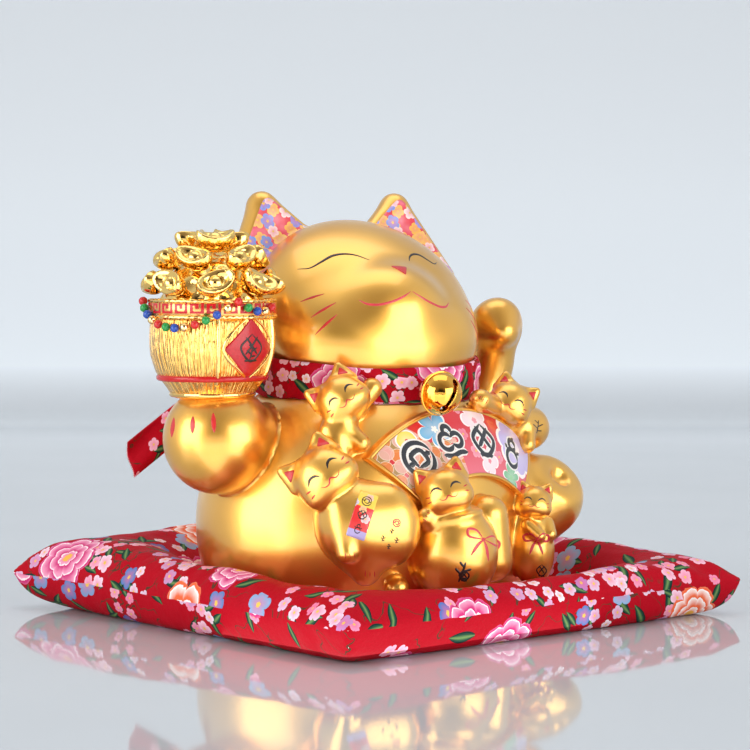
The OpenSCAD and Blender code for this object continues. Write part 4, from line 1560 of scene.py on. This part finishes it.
def make_bell():
    metal = bell_metal()

    def shell_of(q):
        return np.abs(np.linalg.norm(q, axis=1) - (BELL_RADIUS - BELL_WALL / 2)) - BELL_WALL / 2

    def front(q):
        x, y = np.abs(q[:, 0]), np.abs(q[:, 1])
        flat = np.hypot(np.maximum(x - SLIT_REACH, 0), np.maximum(y - SLIT_WIDTH / 2, 0))
        holes = np.hypot(x - SLIT_REACH, y) - HOLE_RADIUS
        slit = np.maximum(np.minimum(flat, holes), -q[:, 2])
        return np.maximum(np.maximum(shell_of(q), 0.02 - q[:, 2]), -slit)

    def back(q):
        shell = np.maximum(shell_of(q), q[:, 2] + 0.06)
        ring = np.hypot(q[:, 0], q[:, 1])
        flange = np.hypot(np.maximum(np.abs(ring - 11.05) - 0.25, 0), q[:, 2] + 0.5) - 0.38
        return blend(shell, flange, 0.25)

    for side, field in (("front", front), ("back", back)):
        verts, quads = surface_of(field, [-12.4] * 3, [12.4] * 3, 0.36)
        cup = new_object("bell_%s_cup" % side, verts @ BELL_AXES.T + BELL_CENTRE, quads, metal)
        piece(cup, "bell", "bell_metal", ["bell_%s_shell" % side])
    ring = aim(vec(BELL_OUT[1], -BELL_OUT[0], 0))
    torus("bell_wire_loop", 2.3, 0.5, metal, HANG_POINT, "bell_metal", "bell", ["bell_loop"], turn=ring,
          around=64)
    cord = gloss_paint("hanger_thread", (0.45, 0.02, 0.03), 0.6)
    hanger_at = HANG_POINT - BELL_OUT * 3
    torus("bell_hanger_cord", 3.0, 0.5, cord, hanger_at, "hanger_cord", nodes=["bell_hanger"], ridges=16)
    steel = Nodes("pellet_steel")
    grain = steel.cloud(steel.object_mm(), 3.0, 2.0)
    rough = steel.ramp(grain, 0.3, 0.7, 0.15, 0.3)
    steel.finish(Base_Color=rgb(0.5, 0.5, 0.52), Metallic=1.0, Roughness=rough)
    pellet_at = BELL_CENTRE - vec(0, 0, BELL_RADIUS - BELL_WALL - PELLET_RADIUS - 0.3)

    def pellet(p):
        return ball(p, pellet_at, PELLET_RADIUS) + 0.02 * np.sin(4 * p[:, 0]) * np.sin(4 * p[:, 2])

    low, high = pellet_at - 3, pellet_at + 3
    cast("bell_rattle_pellet", pellet, low, high, 0.4, steel.material, "pellet_steel", ["bell_pellet"],
         "pellet")


def make_stopper():
    n = Nodes("stopper_rubber")
    grain = n.cloud(n.object_mm(), 1.5, 3.0)
    n.finish(Base_Color=n.mix(grain, rgb(0.70, 0.69, 0.66), rgb(0.78, 0.77, 0.74)), Roughness=0.6,
             Normal=n.bump(grain, 0.0002, 0.5))
    face = [(0, 1), (4.6, 1), (5.4, 0.8), (6.2, 0.35), (15.8, 0.32)]
    rim = [(16.4, 0.5), (16.55, 1.2), (16.3, 2.2), (15.6, 2.38)]
    plug = [(13.9, 2.38), (13.85, 5), (13.4, 6.6), (13.0, 7.8), (12.2, 8.0), (11.2, 7.8), (10.8, 5)]
    outline = face + rim + plug + [(10.4, 3.1), (0, 3)]
    lathe("stopper_plug", outline, n.material, vec(0, 0, 12), 96, "stopper_rubber", "stopper",
          ["rubber_stopper"])


make_collar()
make_knot()
make_tail("collar_end_right", "collar_tail_right",
          [(-6, 68, 132), (-30, 74, 125), (-55, 78, 111), (-78, 82, 95), (-98, 86, 81)],
          (0, 0.3, 1), (0.1, 1, -0.3), (60, 25, 0))
make_tail("collar_end_left", "collar_tail_left",
          [(14, 70.5, 134), (24, 73.5, 126), (34, 77, 114), (40, 83, 100), (42, 90, 85), (42, 95, 70)],
          (1, -0.1, 0.1), (0.1, 1, 0.3), (0, 70, 0))
make_bell()
make_stopper()


# ---------------------------------------------------------------- cushion

CUSHION_HALF = 140.0
SEAM_HEIGHT = 18.0
LARGEST_MOVE = 3.5
SIDE_DIP = 0.035
HOLLOW_HEIGHT = 11.7
HOLLOW_SIDE, HOLLOW_FRONT, HOLLOW_BACK = 93.0, 104.0, 77.5
CROWN_HEIGHT, CROWN_TILT = 22.0, 5.0
COVER_THICKNESS = 2.0
PLACES = (0, 0.06, 0.13, 0.21, 0.33, 0.5, 0.67, 0.82, 0.94, 1)
TOP_RISE = (0, 0.2, 0.46, 0.7, 0.92, 1, 0.93, 0.75, 0.46, 0.26)
UNDER_RISE = (0, 0, 0, 0, 0, 0, 0, 0.08, 0.4, 1)


def softened(rises):
    """A smooth version of a rise table, sampled from hollow to seam."""
    u = np.linspace(-0.2, 1.2, 561)
    h = np.interp(u, PLACES, rises)
    kernel = np.exp(-np.linspace(-2.5, 2.5, 33) ** 2)
    soft = np.convolve(h, kernel / kernel.sum(), mode="same")
    keep = (u >= 0) & (u <= 1)
    blend_end = np.clip((u[keep] - 0.94) / 0.06, 0, 1)
    return u[keep], soft[keep] * (1 - blend_end) + h[keep] * blend_end


TOP_TABLE, UNDER_TABLE = softened(TOP_RISE), softened(UNDER_RISE)


def cushion_radii(a):
    """Distances from the middle to the seam and to the hollow's edge, in direction a."""
    c, s = np.cos(a), np.sin(a)
    m = np.maximum(np.abs(c), np.abs(s))
    q = np.minimum(np.abs(c), np.abs(s)) / m
    seam = CUSHION_HALF * (1 - SIDE_DIP * (1 - q * q)) / m
    front = s < 0
    p = np.where(front, 4, 2)
    depth = np.where(front, HOLLOW_FRONT, HOLLOW_BACK)
    return seam, (np.abs(c / HOLLOW_SIDE) ** p + np.abs(s / depth) ** p) ** (-1 / p)


def cushion_height(a, share, top):
    """Height of the cover above the table, share of the way from the middle to the seam."""
    seam, hollow = cushion_radii(a)
    u = (share * seam - hollow) / (seam - hollow)
    if not top:
        return SEAM_HEIGHT * np.interp(u, *UNDER_TABLE)
    crown = CROWN_HEIGHT + CROWN_TILT * np.sin(a)
    rise = HOLLOW_HEIGHT + crown * np.interp(u, *TOP_TABLE)
    edge = np.clip((u - 0.9) / 0.1, 0, 1) ** 2
    return rise * (1 - edge) + edge * SEAM_HEIGHT


def flat_reach(a, share, top):
    """Distance over the cloth from the middle to a point, so that the print isn't stretched."""
    seam, _ = cushion_radii(a)
    total, before = np.zeros_like(a), cushion_height(a, np.zeros_like(a), top)
    for k in range(1, 41):
        now = cushion_height(a, share * k / 40, top)
        total += np.hypot(share * seam / 40, now - before)
        before = now
    return total


def cushion_mesh():
    cells = 76
    s = np.linspace(-1, 1, cells + 1)
    s, t = np.meshgrid(s, s, indexing="ij")
    s, t = s.ravel(), t.ravel()
    share = np.maximum(np.abs(s), np.abs(t))
    a = np.arctan2(t, s)
    seam, _ = cushion_radii(a)
    x, y = share * seam * np.cos(a), share * seam * np.sin(a)
    layers, flats = [], []
    index = np.arange((cells + 1) ** 2).reshape(cells + 1, cells + 1)
    rim = share > 0.9999
    for top in (True, False):
        z = cushion_height(a, share, top)
        reach = flat_reach(a, share, top)
        layers.append(np.stack([x, y, z], 1))
        flats.append(np.stack([reach * np.cos(a), reach * np.sin(a)], 1) + (0 if top else 37))
    under_index = np.where(rim, np.arange(len(s)), 0)
    inner = np.flatnonzero(~rim)
    under_index[inner] = len(s) + np.arange(len(inner))
    verts = np.vstack([layers[0], layers[1][inner]])
    faces, uv = [], []
    under = under_index.reshape(cells + 1, cells + 1)
    for side, flat, flip in ((index, flats[0], False), (under, flats[1], True)):
        for i in range(cells):
            for j in range(cells):
                corner = [(i, j), (i + 1, j), (i + 1, j + 1), (i, j + 1)]
                if flip:
                    corner.reverse()
                faces.append([side[c] for c in corner])
                uv += [flat[index[c]] for c in corner]
    pinned = (cushion_share(verts) < 0.02) | (verts[:, 2] < 0.5)
    return verts, faces, np.array(uv), pinned


def cushion_share(p):
    a = np.arctan2(p[:, 1], p[:, 0])
    seam, hollow = cushion_radii(a)
    return (np.hypot(p[:, 0], p[:, 1]) - hollow) / (seam - hollow)


def gathered(verts):
    """Puckers along the seam and a few soft folds across the cover between the hollow and the seam."""
    a = np.arctan2(verts[:, 1], verts[:, 0])
    u = np.clip(cushion_share(verts), 0, 1)
    along = a * 150
    lively = noise3(verts * (1, 1, 0), 0.035)
    near_seam = np.exp(-((1 - u) / 0.3) ** 2) * np.clip((1 - u) / 0.06, 0, 1)
    pucker = near_seam * (1.1 * np.sin(along / 3.1 + 3 * lively) + 0.8 * np.sin(along / 7.3 + 5 * lively))
    folds = np.sin(np.pi * u) * (2.0 * noise3(verts * (1, 1, 0) + 90, 0.022) + 0.9 * noise3(verts, 0.06))
    z = verts[:, 2] + np.where(verts[:, 2] > SEAM_HEIGHT - 0.01, 1, 0.35) * (pucker + folds)
    out = verts.copy()
    out[:, 2] = np.where(verts[:, 2] < 0.6, verts[:, 2], np.maximum(z, 0.3))
    return out


def blown_up(o, pinned, cap):
    """Blender's cloth under inner pressure; no point moves more than cap millimetres."""
    group = o.vertex_groups.new(name="held")
    group.add([int(i) for i in np.flatnonzero(pinned)], 1.0, "REPLACE")
    cloth = o.modifiers.new("cloth", "CLOTH")
    cloth.settings.use_pressure = True
    cloth.settings.uniform_pressure_force = 4.0
    cloth.settings.effector_weights.gravity = 0
    cloth.settings.vertex_group_mass = "held"
    cloth.settings.quality = 5
    cloth.settings.bending_stiffness = 0.6
    scene = bpy.context.scene
    for f in range(1, 21):
        scene.frame_set(f)
    seen = o.evaluated_get(bpy.context.evaluated_depsgraph_get())
    after = np.array([v.co for v in seen.data.vertices]) / MM
    before = np.array([v.co for v in o.data.vertices]) / MM
    move = after - before
    size = np.linalg.norm(move, axis=1)
    move *= (cap * np.tanh(size / cap) / (size + 1e-9))[:, None]
    o.modifiers.remove(cloth)
    o.vertex_groups.remove(group)
    scene.frame_set(1)
    return before + move


def near_cushion(p):
    return np.minimum.reduce([belly(p), reclining_field(p), seated_field(p), small_field(p), leg_field(p)])


def set_points(o, verts):
    o.data.vertices.foreach_set("co", (np.asarray(verts) * MM).ravel())
    o.data.update()


def make_cushion():
    verts, faces, uv, pinned = cushion_mesh()
    verts = gathered(verts)
    cloth = printed_cotton("cushion_cotton", 1.0, (0, 0, 0))
    o = new_object("printed_cushion", verts, faces, cloth)
    layer = o.data.uv_layers.new(name="flat")
    layer.data.foreach_set("uv", uv.ravel())
    verts = blown_up(o, pinned, LARGEST_MOVE)
    verts[:, 2] = np.maximum(verts[:, 2], 0.0)
    close = (np.hypot(verts[:, 0], verts[:, 1]) < 130) & (verts[:, 2] > 12.5)
    verts[close] = pushed_clear(verts[close], near_cushion, 0.5)
    set_points(o, verts)
    sub = o.modifiers.new("smooth", "SUBSURF")
    sub.levels = sub.render_levels = 1
    piece(o, "cushion", "red_print_cotton", ["cushion_top_cover", "cushion_bottom_cover"])
    normals = np.array([v.normal for v in o.data.vertices])
    inner = verts - normals * COVER_THICKNESS
    inner[:, 2] = np.clip(inner[:, 2], 1.0, None)
    n = Nodes("fibre_filling")
    wool = n.cloud(n.object_mm(), 0.8, 4.0, 0.7)
    n.finish(Base_Color=n.mix(wool, rgb(0.75, 0.74, 0.72), rgb(0.85, 0.84, 0.82)), Roughness=0.95)
    filling = new_object("cushion_fibre", inner, faces, n.material)
    piece(filling, "cushion", "fibre_filling", ["cushion_filling"])


make_cushion()


# ---------------------------------------------------------------- light and floor


def make_light(name, location, aim, width, height, power):
    data = bpy.data.lights.new(name, "AREA")
    data.shape = "RECTANGLE"
    data.size, data.size_y = width, height
    data.energy = power
    o = bpy.data.objects.new(name, data)
    o.location = location
    direction = Vector(aim) - Vector(location)
    o.rotation_mode = "QUATERNION"
    o.rotation_quaternion = direction.to_track_quat("-Z", "Y")
    bpy.context.scene.collection.objects.link(o)
    return o


def make_stage():
    n = Nodes("pale_table")
    at = n.object_mm()
    haze = n.cloud(at, 0.004, 2.0)
    height = n.parts(at)[2]
    wall = n.ramp(height, 2, 60)
    # Mid grey for a white table: painted shade, with a faint random haze.
    tone = n.mix(n.ramp(haze, 0.3, 0.7), rgb(0.50, 0.53, 0.56), rgb(0.53, 0.56, 0.59))
    tone = n.mix(wall, tone, rgb(0.82, 0.87, 0.91))
    # Painted light: the wall glows, brighter and bluer low down and dimmer higher up.
    painted_wall_glow = n.mix(n.ramp(height, 300, 1100), rgb(0.80, 0.90, 1.0), rgb(0.60, 0.70, 0.80))
    surface = n.finish(
        Base_Color=tone, Roughness=0.05, Specular_IOR_Level=0.7, Emission_Color=painted_wall_glow,
        Emission_Strength=n.times(wall, 0.27),
    )
    extent, table_end, bend, wall_top, rows = 3000, -1500, 900, 3500, 14
    back = camera_back(CAMERA_AZIMUTH, 0)
    across = Vector((back.y, -back.x, 0))
    profile = [(extent, 0.0), (table_end, 0.0)]
    for k in range(1, rows + 1):
        a = k / rows * math.pi / 2
        profile.append((table_end - bend * math.sin(a), bend * (1 - math.cos(a))))
    profile.append((table_end - bend, wall_top))
    verts = []
    for along, z in profile:
        for s in (-1, 1):
            p = back * along + across * (s * extent)
            verts.append((p.x, p.y, z))
    new_object("table_and_backdrop", verts, grid(len(profile), 2, flip=True), surface)


def make_studio():
    world = bpy.data.worlds.new("studio")
    bpy.context.scene.world = world
    world.use_nodes = True
    tree = world.node_tree
    background = tree.nodes["Background"]
    background.inputs["Strength"].default_value = 0.78
    coordinate = tree.nodes.new("ShaderNodeTexCoord")
    dot = tree.nodes.new("ShaderNodeVectorMath")
    dot.operation = "DOT_PRODUCT"
    dot.inputs[1].default_value = tuple(camera_back(CAMERA_AZIMUTH, 8))
    ramp = tree.nodes.new("ShaderNodeValToRGB")
    ramp.color_ramp.elements[0].position = 0.15
    ramp.color_ramp.elements[0].color = (0.90, 0.95, 1.0, 1)
    ramp.color_ramp.elements[1].position = 0.75
    ramp.color_ramp.elements[1].color = (0.42, 0.35, 0.30, 1)
    for position, grey in ((0.9, 0.34), (0.975, 0.03)):
        ramp.color_ramp.elements.new(position).color = (grey, grey * 0.85, grey * 0.75, 1)
    tree.links.new(coordinate.outputs["Generated"], dot.inputs[0])
    tree.links.new(dot.outputs["Value"], ramp.inputs["Fac"])
    tree.links.new(ramp.outputs["Color"], background.inputs["Color"])
    back = camera_back(CAMERA_AZIMUTH, 0)
    side = Vector((-back.y, back.x, 0))
    aim = Vector((0, 0, 0.11))
    make_light("key_window", aim + back * 0.9 - side * 1.3 + Vector((0, 0, 0.35)), aim, 1.3, 1.2, 20)
    make_light("fill_window", aim + back * 1.0 + side * 1.1 + Vector((0, 0, 0.2)), aim, 1.2, 1.1, 17)
    make_light("low_bounce", aim + back * 2.2 - side * 0.2 + Vector((0, 0, 0.12)), aim, 2.4, 0.4, 3)
    card = back * 0.78 + Vector((0, 0, 0.004))
    make_light("table_card", card, card + Vector((0, 0, 1)), 1.1, 1.1, 4.5).visible_camera = False
    make_light("top_panel", aim - back * 0.15 + Vector((0, 0, 1.3)), aim, 1.2, 0.9, 4)


make_stage()
make_studio()

view = bpy.context.scene.view_settings
view.view_transform = "Standard"
